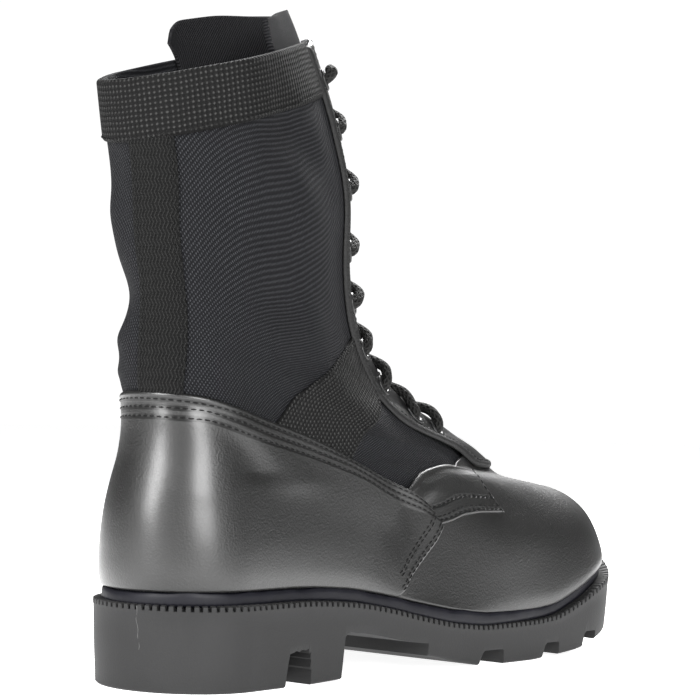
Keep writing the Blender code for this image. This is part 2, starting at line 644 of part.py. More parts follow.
BACK_STRAP = (((0.434, 0.960), (0.436, 0.600), (0.464, 0.330)),
              ((0.500, 0.960), (0.500, 0.600), (0.504, 0.330)))
back_strap = run_of_tape("back_strap", *BACK_STRAP, [quarter_room, band_room])
ANKLE_HIGH = ((0.085, 0.600), (0.159, 0.558), (0.256, 0.477), (0.325, 0.402), (0.385, 0.285))
ANKLE_LOW = ((0.115, 0.490), (0.177, 0.415), (0.235, 0.349), (0.262, 0.318), (0.312, 0.210))
ankle_straps = []
for side, word in ((0, "outer"), (1, "inner")):
    edges = [[(a if side == 0 else 1 - a, b) for a, b in edge] for edge in (ANKLE_HIGH, ANKLE_LOW)]
    ankle_straps.append(run_of_tape("ankle_strap_" + word, *edges, [quarter_room] + facing_room))

# Eyelets: level on the front centre line, and distance beside it
EYELETS = (
    (0.447, 0.0225), (0.492, 0.0250), (0.550, 0.0215), (0.602, 0.0205), (0.664, 0.0200), (0.732, 0.0200),
    (0.815, 0.0205), (0.893, 0.0205), (0.955, 0.0200),
)
facing_face = CLEAR + LEATHER


def eyelet_mesh(u, v):
    """Flanged ring square to the face."""
    lift = facing_face + CLEAR + 0.00045
    foot = upper_points(u, v, lift)
    axis = upper_points(u, v, lift + 0.001) - foot
    axis /= np.linalg.norm(axis)
    side_axis = np.cross(axis, (0.0, 0.0, 1.0))
    side_axis /= np.linalg.norm(side_axis)
    third = np.cross(axis, side_axis)
    bore, rim = EYELET_INNER / 2, EYELET_OUTER / 2
    profile = ((bore, 0.0), (rim, 0.0), ((bore + rim) / 2, EYELET_THICK))
    sides, verts, faces = 7, [], []
    for i in range(sides):
        a = 2 * math.pi * i / sides
        for radius, height in profile:
            verts.append(foot + (side_axis * math.cos(a) + third * math.sin(a)) * radius + axis * height)
    for i in range(sides):
        j = (i + 1) % sides
        for k in range(3):
            m = (k + 1) % 3
            faces.append([i * 3 + k, j * 3 + k, j * 3 + m, i * 3 + m])
    return np.array(verts), faces


for number, (w, d) in enumerate(EYELETS, 1):
    for sign, word in ((1, "outer"), (-1, "inner")):
        u, v = beside(w, sign * d)
        make(f"eyelet_{word}_{number}", *eyelet_mesh(float(u), float(v)), (0.02, 0.02, 0.02), 0.35, 0.6)


def tube(points, radius, sides=5):
    points = np.asarray(points, float)
    tangent = np.gradient(points, axis=0)
    tangent /= np.linalg.norm(tangent, axis=1, keepdims=True)
    across = np.cross(tangent[0], (0.0, 0.0, 1.0))
    verts, faces = [], []
    for k, point in enumerate(points):
        across = across - tangent[k] * (across @ tangent[k])
        across /= np.linalg.norm(across)
        third = np.cross(tangent[k], across)
        for i in range(sides):
            a = 2 * math.pi * i / sides
            verts.append(point + (across * math.cos(a) + third * math.sin(a)) * radius)
    for k in range(len(points) - 1):
        for i in range(sides):
            j = (i + 1) % sides
            faces.append([k * sides + i, k * sides + j, (k + 1) * sides + j, (k + 1) * sides + i])
    faces.append(list(range(sides))[::-1])
    faces.append([(len(points) - 1) * sides + i for i in range(sides)])
    return np.array(verts), faces


LACE_OUT = facing_face + CLEAR + 0.00045 + EYELET_THICK + CLEAR * 4 + LACE / 2


def crossing(start):
    """Zigzag of the lace over the throat: from one side's first eyelet to the top, changing side each pair."""
    knots = np.array([(w, d * (-1) ** (start + k)) for k, (w, d) in enumerate(EYELETS)])
    place = np.linspace(0, len(knots) - 1, 5 * (len(knots) - 1) + 1)
    w, d = (np.interp(place, np.arange(len(knots)), knots[:, k]) for k in (0, 1))
    u, v = beside(w, d)
    return upper_points(u % 1.0, v, LACE_OUT)


lace = make("lace", *tube(crossing(0), LACE / 2), (0.012, 0.012, 0.012), 0.7)
boolean(lace, cutter("lace_second", *tube(crossing(1), LACE / 2 * 1.01)), "UNION")

# Origin: the middle of the bounding box, on the floor
bpy.context.view_layer.update()
corners = np.array([item.matrix_world @ Vector(c) for item in bpy.data.objects
                    if item.type == "MESH" and not item.hide_render for c in item.bound_box])
centre = (corners.min(axis=0) + corners.max(axis=0)) / 2
for item in bpy.data.objects:
    item.location = (-centre[0], -centre[1], 0.0)
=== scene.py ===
"""Looks of the jungle boot: a right boot with a leather foot, a nylon shaft and a lugged rubber sole.

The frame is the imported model, in metres: +X to the toe, +Y to the inner side, +Z up, floor at z = 0.
"""
import math

import bmesh
import bpy
import numpy as np
from mathutils import Matrix, Quaternion, Vector


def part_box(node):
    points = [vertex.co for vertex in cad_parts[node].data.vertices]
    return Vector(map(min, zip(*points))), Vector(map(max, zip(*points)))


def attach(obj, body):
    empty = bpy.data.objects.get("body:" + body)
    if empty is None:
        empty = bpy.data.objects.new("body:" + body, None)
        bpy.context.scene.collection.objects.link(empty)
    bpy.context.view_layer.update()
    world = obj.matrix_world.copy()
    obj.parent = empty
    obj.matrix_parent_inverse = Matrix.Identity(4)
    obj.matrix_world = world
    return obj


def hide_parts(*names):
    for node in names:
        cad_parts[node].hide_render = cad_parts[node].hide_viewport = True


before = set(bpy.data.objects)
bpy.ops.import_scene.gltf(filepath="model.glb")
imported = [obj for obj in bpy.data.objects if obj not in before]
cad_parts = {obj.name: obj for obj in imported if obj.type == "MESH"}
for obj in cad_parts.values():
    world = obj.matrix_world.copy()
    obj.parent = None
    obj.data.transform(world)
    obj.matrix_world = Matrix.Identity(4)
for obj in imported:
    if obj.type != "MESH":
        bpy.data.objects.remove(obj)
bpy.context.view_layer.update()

# Camera: behind the outer side and a little below the middle of the shaft, as far off as the real one was,
# so that the near heel and the far toe keep their sizes.
CAMERA_PLACE = Vector((-0.7649, -0.6188, 0.1153))
CAMERA_AIM = Vector((-0.0122, -0.0027, 0.1391))
CAMERA_ROLL = math.radians(1.48)
camera = bpy.data.objects.new("camera", bpy.data.cameras.new("camera"))
bpy.context.scene.collection.objects.link(camera)
camera.location = CAMERA_PLACE
camera.rotation_mode = "QUATERNION"
looking = (CAMERA_AIM - CAMERA_PLACE).to_track_quat("-Z", "Y")
camera.rotation_quaternion = looking @ Quaternion((0, 0, 1), CAMERA_ROLL)
camera.data.sensor_width = 36.0
camera.data.lens = 112.6
camera.data.shift_x = -2 / 700
camera.data.clip_end = 30.0
bpy.context.scene.camera = camera


# Finishes: every material is a node tree written as sums. A Field is one socket with arithmetic on it,
# and a Finish is one material with its shader.
class Field:
    def __init__(self, tree, socket):
        self.tree = tree
        self.socket = socket

    def math(self, operation, *others):
        made = self.tree.nodes.new("ShaderNodeMath")
        made.operation = operation
        for slot, value in enumerate((self, *others)):
            if isinstance(value, Field):
                self.tree.links.new(value.socket, made.inputs[slot])
            else:
                made.inputs[slot].default_value = value
        return Field(self.tree, made.outputs[0])

    def __add__(self, other):
        return self.math("ADD", other)

    __radd__ = __add__

    def __sub__(self, other):
        return self.math("SUBTRACT", other)

    def __rsub__(self, other):
        return (self * -1.0) + other

    def __mul__(self, other):
        return self.math("MULTIPLY", other)

    __rmul__ = __mul__

    def __truediv__(self, other):
        return self.math("DIVIDE", other)

    def cos(self):
        return self.math("COSINE")

    def fract(self):
        return self.math("FRACT")

    def abs(self):
        return self.math("ABSOLUTE")

    def max(self, other):
        return self.math("MAXIMUM", other)

    def wave(self, pitch):
        """Cosine with one period in each pitch."""
        return (self * (2 * math.pi / pitch)).cos()

    def step(self, low, high):
        """0 under low, 1 over high, smooth between."""
        made = self.tree.nodes.new("ShaderNodeMapRange")
        made.interpolation_type = "SMOOTHSTEP"
        self.tree.links.new(self.socket, made.inputs["Value"])
        made.inputs["From Min"].default_value = low
        made.inputs["From Max"].default_value = high
        return Field(self.tree, made.outputs["Result"])


class Finish:
    def __init__(self, name):
        self.material = bpy.data.materials.new(name)
        self.material.use_nodes = True
        self.tree = self.material.node_tree
        self.shader = self.tree.nodes["Principled BSDF"]

    def node(self, kind, settings=(), sockets=(), output=0):
        """One node of any kind: its settings first, then the values or links of its sockets."""
        made = self.tree.nodes.new(kind)
        for name, value in dict(settings).items():
            setattr(made, name, value)
        for name, value in dict(sockets).items():
            if isinstance(value, Field):
                self.tree.links.new(value.socket, made.inputs[name])
            else:
                made.inputs[name].default_value = value
        return Field(self.tree, made.outputs[output])

    def place(self):
        return self.node("ShaderNodeTexCoord", output="Object")

    def cloth(self):
        """Distances along the piece's own UV map, in metres."""
        both = self.node("ShaderNodeUVMap", {"uv_map": "metres"})
        parts = self.tree.nodes.new("ShaderNodeSeparateXYZ")
        self.tree.links.new(both.socket, parts.inputs[0])
        return Field(self.tree, parts.outputs[0]), Field(self.tree, parts.outputs[1])

    def value(self, name):
        return self.node("ShaderNodeAttribute", {"attribute_name": name}, output="Fac")

    def noise(self, size, detail=3.0):
        sockets = {"Vector": self.place(), "Scale": 1 / size, "Detail": detail}
        return self.node("ShaderNodeTexNoise", {}, sockets)

    def cells(self, size):
        return self.node("ShaderNodeTexVoronoi", {}, {"Vector": self.place(), "Scale": 1 / size})

    def mix(self, factor, first, second):
        made = self.node("ShaderNodeMix", {"data_type": "RGBA"}, {"Factor": factor}, output=2)
        for slot, colour in ((6, first), (7, second)):
            if isinstance(colour, Field):
                self.tree.links.new(colour.socket, made.socket.node.inputs[slot])
            else:
                made.socket.node.inputs[slot].default_value = (*colour, 1.0)
        return made

    def bump(self, height, depth):
        return self.node("ShaderNodeBump", {}, {"Height": height, "Distance": depth, "Strength": 1.0})

    def shade(self, **sockets):
        for name, value in sockets.items():
            slot = self.shader.inputs[name.replace("_", " ").title().replace("Ior", "IOR")]
            if isinstance(value, Field):
                self.tree.links.new(value.socket, slot)
            elif isinstance(value, tuple):
                slot.default_value = (*value, 1.0)
            else:
                slot.default_value = value
        return self.material


# Studio: a white floor in a white room. Two tall soft lamps behind the outer side give the leather at the
# heel its two upright highlights, and a third one beyond the toe lights the toe's top.
bpy.context.scene.view_settings.view_transform = "Standard"
floor_finish = Finish("floor_paint")
floor_finish.shade(
    base_color=floor_finish.mix(floor_finish.noise(0.4), (0.78, 0.78, 0.78), (0.82, 0.82, 0.82)),
    roughness=0.9,
    emission_color=(1.0, 1.0, 1.0),
    emission_strength=0.90,
)
bpy.ops.mesh.primitive_plane_add(size=12.0, location=(0, 0, 0))
floor = bpy.context.object
floor.name = "floor"
floor.data.materials.append(floor_finish.material)

world = bpy.data.worlds.new("white_room")
world.use_nodes = True
# The room looks white, but most of the light comes from the lamps, so that black stays black.
room = world.node_tree
seen = room.nodes.new("ShaderNodeLightPath")
strength = room.nodes.new("ShaderNodeMapRange")
strength.inputs["To Min"].default_value = 0.11
strength.inputs["To Max"].default_value = 1.05
room.links.new(seen.outputs["Is Camera Ray"], strength.inputs["Value"])
room.links.new(strength.outputs["Result"], room.nodes["Background"].inputs["Strength"])
room.nodes["Background"].inputs["Color"].default_value = (1.0, 1.0, 1.0, 1.0)
bpy.context.scene.world = world


def soft_lamp(name, place, aim, width, height, power):
    lamp = bpy.data.lights.new(name, "AREA")
    lamp.shape = "RECTANGLE"
    lamp.size, lamp.size_y, lamp.energy = width, height, power
    item = bpy.data.objects.new(name, lamp)
    bpy.context.scene.collection.objects.link(item)
    item.location = place
    item.rotation_mode = "QUATERNION"
    item.rotation_quaternion = (Vector(aim) - Vector(place)).to_track_quat("-Z", "Y")
    return item


soft_lamp("lamp_heel_side", (-1.6, 0.12, 0.9), (-0.08, 0.0, 0.12), 0.50, 1.3, 44)
soft_lamp("lamp_outer_side", (-0.75, -1.6, 0.9), (-0.05, 0.0, 0.12), 0.80, 1.2, 50)
soft_lamp("lamp_over_toe", (0.90, 0.40, 1.15), (0.08, 0.0, 0.08), 0.7, 0.7, 40)


# The last: the form that the upper is pulled over, and no piece itself. Its sections run from the sole's rim
# up to the collar, each with its two ends and its half widths on the outer and the inner side.
LENGTH = 0.310
BALL_WIDTH = 0.108
HEEL_WIDTH = 0.077
TOE_SWING = 0.004
HEEL_HEIGHT = 0.0345
FOREFOOT_HEIGHT = 0.0180
TOE_SPRING = 0.0180
SHAFT_RISE = 0.2095
# place on the sole as a share of LENGTH; rim height as a share of the heel's height above the ball's;
# lowest tread as a share of TOE_SPRING
RIM_LINE = (
    (0.0, 1.0, 0.0), (0.20, 1.0, 0.0), (0.30, 0.90, 0.05), (0.38, 0.68, 0.30), (0.46, 0.36, 0.39),
    (0.54, 0.10, 0.14), (0.60, 0.01, 0.0), (0.70, 0.03, 0.0), (0.755, 0.10, 0.055), (0.82, 0.43, 0.14),
    (0.88, 0.83, 0.37), (0.94, 1.14, 0.65), (1.0, 1.70, 1.0),
)
STATIONS = (0.0, 0.13, 0.32, 0.50, 0.68, 0.86, 1.0)
# name, back_x, back_up, front_x, front_up, back_end, front_end, then half widths: outer side, inner side
SECTIONS = (
    ("rim", 0.000, 0.000, 1.006, 0.000, 0.116, 0.161,
     (0.508, 0.522, 0.416, 0.452, 0.471), (0.508, 0.455, 0.350, 0.478, 0.430)),
    ("feather", 0.012, 0.018, 0.992, 0.025, 0.106, 0.176,
     (0.435, 0.455, 0.391, 0.425, 0.425), (0.425, 0.375, 0.302, 0.425, 0.390)),
    ("cheek", 0.004, 0.048, 0.999, 0.028, 0.112, 0.182,
     (0.452, 0.468, 0.381, 0.439, 0.447), (0.434, 0.385, 0.306, 0.442, 0.410)),
    ("swell", 0.004, 0.098, 0.991, 0.071, 0.112, 0.184,
     (0.448, 0.458, 0.363, 0.429, 0.433), (0.431, 0.385, 0.310, 0.432, 0.400)),
    ("side", 0.006, 0.160, 0.974, 0.127, 0.110, 0.194,
     (0.428, 0.437, 0.342, 0.412, 0.397), (0.411, 0.379, 0.305, 0.396, 0.356)),
    ("toe_top", 0.013, 0.222, 0.928, 0.188, 0.106, 0.215,
     (0.400, 0.420, 0.322, 0.353, 0.328), (0.380, 0.370, 0.293, 0.335, 0.300)),
    ("crown", 0.023, 0.282, 0.863, 0.230, 0.102, 0.240,
     (0.380, 0.405, 0.306, 0.310, 0.280), (0.351, 0.351, 0.280, 0.285, 0.255)),
    ("vamp", 0.027, 0.334, 0.796, 0.276, 0.098, 0.250,
     (0.368, 0.395, 0.294, 0.275, 0.238), (0.339, 0.346, 0.270, 0.252, 0.215)),
    ("throat", 0.028, 0.378, 0.739, 0.333, 0.096, 0.250,
     (0.362, 0.390, 0.294, 0.270, 0.230), (0.351, 0.364, 0.271, 0.232, 0.194)),
    ("instep", 0.021, 0.420, 0.654, 0.402, 0.096, 0.240,
     (0.362, 0.392, 0.287, 0.250, 0.210), (0.370, 0.388, 0.277, 0.228, 0.188)),
    ("facing", 0.018, 0.470, 0.565, 0.448, 0.098, 0.220,
     (0.365, 0.398, 0.280, 0.235, 0.195), (0.374, 0.396, 0.282, 0.236, 0.198)),
    ("bend", 0.017, 0.530, 0.483, 0.497, 0.100, 0.190,
     (0.372, 0.412, 0.286, 0.243, 0.203), (0.380, 0.412, 0.297, 0.260, 0.220)),
    ("ankle", 0.013, 0.610, 0.420, 0.582, 0.104, 0.165,
     (0.382, 0.430, 0.296, 0.260, 0.220), (0.386, 0.428, 0.312, 0.288, 0.250)),
    ("shin", 0.002, 0.710, 0.391, 0.697, 0.108, 0.155,
     (0.395, 0.448, 0.316, 0.285, 0.247), (0.399, 0.448, 0.330, 0.308, 0.272)),
    ("shaft", -0.004, 0.810, 0.381, 0.834, 0.110, 0.150,
     (0.405, 0.462, 0.329, 0.304, 0.268), (0.408, 0.461, 0.339, 0.320, 0.286)),
    ("cuff", -0.016, 0.900, 0.350, 0.977, 0.112, 0.148,
     (0.412, 0.470, 0.325, 0.293, 0.259), (0.418, 0.474, 0.346, 0.328, 0.296)),
    ("collar", -0.027, 0.985, 0.300, 1.135, 0.114, 0.146,
     (0.420, 0.478, 0.310, 0.257, 0.223), (0.425, 0.481, 0.352, 0.336, 0.304)),
)
NAMES = [row[0] for row in SECTIONS]


def smooth(t):
    t = np.clip(t, 0.0, 1.0)
    return t * t * (3.0 - 2.0 * t)


def curve_through(knots, values, at):
    """Monotone cubic through the rows of a table: knots (n), values (n, c), at (m) gives (m, c)."""
    knots = np.asarray(knots, float)
    values = np.asarray(values, float).reshape(len(knots), -1)
    at = np.clip(np.asarray(at, float), knots[0], knots[-1])
    step = np.diff(knots)[:, None]
    slope = np.diff(values, axis=0) / step
    tangent = np.zeros_like(values)
    tangent[0], tangent[-1] = slope[0], slope[-1]
    before, after = slope[:-1], slope[1:]
    same = before * after > 0
    w1, w2 = 2 * step[1:] + step[:-1], step[1:] + 2 * step[:-1]
    mean = (w1 + w2) / (w1 / np.where(same, before, 1.0) + w2 / np.where(same, after, 1.0))
    tangent[1:-1] = np.where(same, mean, 0.0)
    i = np.clip(np.searchsorted(knots, at, side="right") - 1, 0, len(knots) - 2)
    h = step[i]
    t = ((at - knots[i]) / h[:, 0])[:, None]
    return (
        (1 + 2 * t) * (1 - t) ** 2 * values[i]
        + t * (1 - t) ** 2 * h * tangent[i]
        + t * t * (3 - 2 * t) * values[i + 1]
        + t * t * (t - 1) * h * tangent[i + 1]
    )


def rim_height(x):
    line = np.array(RIM_LINE)
    share = curve_through(line[:, 0], line[:, 1], np.ravel(x) / LENGTH)[:, 0]
    return (FOREFOOT_HEIGHT + (HEEL_HEIGHT - FOREFOOT_HEIGHT) * share).reshape(np.shape(x))


def tread_height(x):
    line = np.array(RIM_LINE)
    share = curve_through(line[:, 0], line[:, 2], np.ravel(x) / LENGTH)[:, 0]
    return (TOE_SPRING * share).reshape(np.shape(x))


def section_row(section):
    """A section in metres: back and front point, end lengths, outer and inner half widths."""
    _, back_x, back_up, front_x, front_up, back_end, front_end, outer, inner = section
    xb, xf = back_x * LENGTH, front_x * LENGTH
    widths = []
    for side in (outer, inner):
        w = [a * b for a, b in zip(side, (HEEL_WIDTH, HEEL_WIDTH, BALL_WIDTH, BALL_WIDTH, BALL_WIDTH))]
        widths += [w[0], *w, w[-1]]
    zb = float(rim_height(np.array(max(xb, 0.0)))) + back_up * SHAFT_RISE
    zf = float(rim_height(np.array(xf))) + front_up * SHAFT_RISE
    return [xb, zb, xf, zf, back_end * LENGTH, front_end * LENGTH, *widths]


ROWS = np.array([section_row(s) for s in SECTIONS])
TRAVEL = np.hypot(*np.diff(ROWS[1:, :2], axis=0).T) + np.hypot(*np.diff(ROWS[1:, 2:4], axis=0).T)
LEVELS = np.concatenate([[0.0], np.cumsum(TRAVEL)]) / TRAVEL.sum()


def level(name):
    return LEVELS[NAMES.index(name) - 1]


HALF = 240  # columns of the face on each side
TALL = 220  # its rows


def section_line(row, hug, half=HALF):
    """A section's closed line, evenly spaced: front, outer side, back, inner side."""
    s = 0.5 + 0.5 * np.cos(np.linspace(0.0, math.pi, 900))
    length = row[2] - row[0]
    back, front = np.clip(s * length / row[4], 0, 1), np.clip((1 - s) * length / row[5], 0, 1)
    ends = (1 - (1 - back) ** 2.0) ** 0.5 * (1 - (1 - front) ** 2.25) ** (1 / 2.25)
    halves = []
    for sign, widths in ((-1, row[6:13]), (1, row[13:20])):
        width = curve_through(STATIONS, widths, s)[:, 0] * ends
        along = s * math.hypot(length, row[3] - row[1])
        arc = np.concatenate([[0.0], np.cumsum(np.hypot(np.diff(along), np.diff(width)))])
        at = np.linspace(0.0, arc[-1], half + 1)
        s_at, w_at = np.interp(at, arc, s), np.interp(at, arc, width)
        x = row[0] + s_at * length
        y = sign * w_at + TOE_SWING * np.clip(x / LENGTH, 0, 1) ** 2
        chord = rim_height(np.array(row[0])) * (1 - s_at) + rim_height(np.array(row[2])) * s_at
        z = row[1] + s_at * (row[3] - row[1]) + hug * (rim_height(x) - chord)
        halves.append(np.stack([x, y, z], axis=1))
    return np.concatenate([halves[0], halves[1][-2:0:-1]])


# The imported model's own corner puts the sections into the frame.
RIM_FACE = section_line(ROWS[0], 0.0, 400)
sole_low, sole_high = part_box("outsole")
OFFSET = np.array([sole_low.x, (sole_low.y + sole_high.y) / 2, 0.0])
OFFSET -= [RIM_FACE[:, 0].min(), (RIM_FACE[:, 1].min() + RIM_FACE[:, 1].max()) / 2, 0.0]

LEVEL_STEPS = np.linspace(0, 1, TALL + 1)
FACE_ROWS = curve_through(LEVELS, ROWS[1:], LEVEL_STEPS)
HUG = 1.0 - smooth(LEVEL_STEPS / level("vamp"))  # how far each row follows the rim's line up and down
FACE = np.stack([section_line(row, hug) for row, hug in zip(FACE_ROWS, HUG)]) + OFFSET
for _ in range(10):  # a fair surface: evens out the changes of curve at the table's rows
    FACE[1:-1] = 0.25 * FACE[:-2] + 0.5 * FACE[1:-1] + 0.25 * FACE[2:]
for _ in range(4):
    FACE = 0.25 * np.roll(FACE, 1, axis=1) + 0.5 * FACE + 0.25 * np.roll(FACE, -1, axis=1)


def face_normals(face):
    across = np.roll(face, -1, axis=1) - np.roll(face, 1, axis=1)
    up = np.gradient(face, axis=0)
    normal = np.cross(up, across)
    return normal / (np.linalg.norm(normal, axis=2, keepdims=True) + 1e-12)


def on_table(table, u, v):
    """Smooth reading of a table over girth u, which goes round, and level v."""
    u, v = np.broadcast_arrays(np.asarray(u, float), np.asarray(v, float))
    a, b = (u % 1.0) * 2 * HALF, np.clip(v, 0, 1) * TALL
    i, j = np.floor(a).astype(int), np.clip(np.floor(b).astype(int), 0, TALL - 1)
    found = 0.0
    for k, wa in enumerate(cubic_weights(a - i)):
        for m, wb in enumerate(cubic_weights(b - j)):
            rows, columns = j + m - 1, (i + k - 1) % (2 * HALF)
            cell = table[np.clip(rows, 0, TALL), columns]
            # one more row past either end goes straight on
            cell = np.where((rows < 0)[..., None], 2 * cell - table[1, columns], cell)
            cell = np.where((rows > TALL)[..., None], 2 * cell - table[TALL - 1, columns], cell)
            found = found + cell * (wa * wb)[..., None]
    return found


def cubic_weights(t):
    return (
        0.5 * (-t + 2 * t**2 - t**3),
        0.5 * (2 - 5 * t**2 + 3 * t**3),
        0.5 * (t + 4 * t**2 - 3 * t**3),
        0.5 * (-(t**2) + t**3),
    )


# Folds of the empty shaft: girth and level at the two ends, half width, height (minus is a trough)
FOLDS = (
    (0.640, 0.625, 0.545, 0.590, 0.015, -0.0042),
    (0.660, 0.760, 0.540, 0.735, 0.009, 0.0010),
    (0.640, 0.520, 0.545, 0.505, 0.008, 0.0012),
    (0.640, 0.430, 0.560, 0.420, 0.007, 0.0012),
    (0.540, 0.860, 0.525, 0.700, 0.007, -0.0012),
    (0.260, 0.905, 0.150, 0.800, 0.010, -0.0018),
    (0.330, 0.850, 0.200, 0.740, 0.012, 0.0013),
    (0.400, 0.640, 0.250, 0.600, 0.012, -0.0013),
    (0.330, 0.540, 0.200, 0.600, 0.011, 0.0010),
    (0.420, 0.470, 0.300, 0.440, 0.009, 0.0010),
    (0.420, 0.790, 0.330, 0.720, 0.010, -0.0010),
    (0.800, 0.700, 0.680, 0.620, 0.012, -0.0018),
    (0.780, 0.560, 0.650, 0.500, 0.010, 0.0014),
    (0.448, 0.340, 0.408, 0.160, 0.006, -0.0011),
    (0.415, 0.290, 0.375, 0.150, 0.009, 0.0009),
    (0.470, 0.300, 0.455, 0.120, 0.007, 0.0006),
)
ROUND = np.linalg.norm(np.roll(FACE, -1, axis=1) - FACE, axis=2).sum(axis=1)  # girth at each row
RISE = np.linalg.norm(np.diff(FACE, axis=0), axis=2).mean(axis=1).sum()  # mean length from feather to collar
relief = np.zeros(FACE.shape[:2])
GIRTH_STEPS = np.arange(2 * HALF) / (2 * HALF)
mean_round = ROUND[TALL // 2:].mean()
spot = np.stack(np.broadcast_arrays(GIRTH_STEPS[None, :] * mean_round, LEVEL_STEPS[:, None] * RISE), axis=2)
for u0, v0, u1, v1, half_width, height in FOLDS:
    start = np.array([u0 * mean_round, v0 * RISE])
    run = np.array([u1 * mean_round, v1 * RISE]) - start
    share = ((spot - start) @ run) / (run @ run)
    away = np.linalg.norm(spot - start - np.clip(share, 0.12, 0.88)[..., None] * run, axis=2)
    relief += height * np.exp(-(away / half_width) ** 2)
FACE += face_normals(FACE) * relief[..., None]
NORMAL = face_normals(FACE)


def on_face(u, v, out=0.0):
    return on_table(FACE, u, v) + normal_at(u, v) * np.asarray(out)[..., None]


def normal_at(u, v):
    normal = on_table(NORMAL, u, v)
    return normal / np.linalg.norm(normal, axis=-1, keepdims=True)


INNER_HALF = np.concatenate([FACE[:, HALF:], FACE[:, :1]], axis=1)
HALVES = np.stack([
    np.linalg.norm(np.diff(half, axis=1), axis=2).sum(axis=1) for half in (FACE[:, :HALF + 1], INNER_HALF)
])


def girth_share(v, distance, side):
    """Share of the girth at a distance from the front centre line, on the outer (0) or inner side (1)."""
    return np.asarray(distance) * 0.5 / np.interp(v, LEVEL_STEPS, HALVES[side])


def paint(item, finish):
    item.data.materials.clear()
    item.data.materials.append(finish.material)


def mesh_piece(name, verts, faces, finish, uv=None, values=(), angle=None):
    """A new closed mesh that rides on the boot."""
    mesh = bpy.data.meshes.new(name)
    mesh.from_pydata(np.asarray(verts, float).tolist(), [], faces)
    if uv is not None:
        corner = np.zeros(len(mesh.loops), np.int64)
        mesh.loops.foreach_get("vertex_index", corner)
        mesh.uv_layers.new(name="metres").data.foreach_set("uv", np.asarray(uv, np.float32)[corner].ravel())
    for key, numbers in dict(values).items():
        mesh.attributes.new(key, "FLOAT", "POINT").data.foreach_set("value", np.asarray(numbers, np.float32))
    work = bmesh.new()
    work.from_mesh(mesh)
    bmesh.ops.recalc_face_normals(work, faces=work.faces)
    work.to_mesh(mesh)
    work.free()
    item = bpy.data.objects.new(name, mesh)
    bpy.context.scene.collection.objects.link(item)
    mesh.shade_smooth()
    if angle:
        mesh.set_sharp_from_angle(angle=math.radians(angle))
    paint(item, finish)
    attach(item, "root")
    return item


def quads_of(index):
    """The quads of a grid of vertex numbers."""
    return np.stack([index[:-1, :-1], index[:-1, 1:], index[1:, 1:], index[1:, :-1]], axis=2).reshape(-1, 4)


def ring_faces(rings, round_about=False):
    """Quads between rings of points. Round about, the last ring joins the first; else both ends are closed."""
    n, m = len(rings[0]), len(rings)
    faces = []
    for k in range(m if round_about else m - 1):
        a, b = k * n, (k + 1) % m * n
        for i in range(n):
            j = (i + 1) % n
            faces.append([a + i, a + j, b + j, b + i])
    for base in () if round_about else (0, (m - 1) * n):
        for i in range(n // 2):
            corners = dict.fromkeys([i, i + 1, (n - i - 1) % n, (n - i) % n])
            faces.append([base + c for c in corners])
    return faces


# Outsole: one rubber moulding, pressed straight on to the upper. Its rim carries a row of small teeth,
# the heel has a notch in each side, and the mould has left a line of flash up the heel's back.
RIM_LEDGE = 0.0055
BED_RISE = 0.0031
TOOTH_PITCH = 0.0034
TOOTH_GAP = 0.0011
TOOTH_DROP = 0.0021
TREAD_DEPTH = 0.0070
ARCH_HEIGHT = 0.0200
HEEL_LENGTH = 0.0910
NOTCH_LENGTH = 0.0160
NOTCH_HEIGHT = 0.0145
NOTCH_DEPTH = 0.0160
NOTCH_PLACE = 0.0560
TOOTH_SHARES = (0.0, 0.10, 0.36, 0.62, 0.70, 0.84)

rubber = Finish("rubber")
grime = rubber.noise(0.030, 4.0)
fine = rubber.noise(0.0009, 2.0)
moulded = rubber.mix(grime.step(0.35, 0.7), (0.008, 0.008, 0.0083), (0.012, 0.012, 0.0124))
rubber.shade(
    base_color=moulded,
    roughness=0.52 + 0.16 * grime + 0.05 * fine,
    specular_ior_level=0.40,
    normal=rubber.bump(fine + grime * 2.0, 0.00008),
)


def rim_ring(inset, height, lower=0.0, cut=0.0):
    """The rim's outline moved inwards by inset; at the tooth gaps it drops by lower and goes in by cut."""
    ring = RIM_POINTS.copy()
    ring[:, 0] -= RIM_OUT[:, 0] * (inset + cut * RIM_GAPS)
    ring[:, 1] -= RIM_OUT[:, 1] * (inset + cut * RIM_GAPS)
    ring[:, 2] = height(ring[:, 0]) - lower * RIM_GAPS
    return ring


outline = section_line(ROWS[0], 0.0, 1200)
outline = np.vstack([outline, outline[:1]])
arc = np.concatenate([[0.0], np.cumsum(np.linalg.norm(np.diff(outline, axis=0), axis=1))])
teeth = round(arc[-1] / TOOTH_PITCH)
places = (np.arange(teeth)[:, None] + np.array(TOOTH_SHARES)[None, :]).ravel() / teeth * arc[-1]
RIM_POINTS = np.stack([np.interp(places, arc, outline[:, k]) for k in range(3)], axis=1)
run = np.roll(RIM_POINTS, -1, axis=0) - np.roll(RIM_POINTS, 1, axis=0)
for _ in range(3):
    run = (np.roll(run, 1, axis=0) + run + np.roll(run, -1, axis=0)) / 3
RIM_OUT = np.stack([run[:, 1], -run[:, 0]], axis=1) / np.hypot(run[:, 0], run[:, 1])[:, None]
if (RIM_OUT * (RIM_POINTS[:, :2] - RIM_POINTS[:, :2].mean(axis=0))).sum() < 0:
    RIM_OUT = -RIM_OUT
RIM_GAPS = np.tile([1.0, 0.0, 0.0, 0.0, 1.0, 1.0], teeth)


def wall_height(share):
    return lambda x: tread_height(x) + share * (rim_height(x) - tread_height(x))


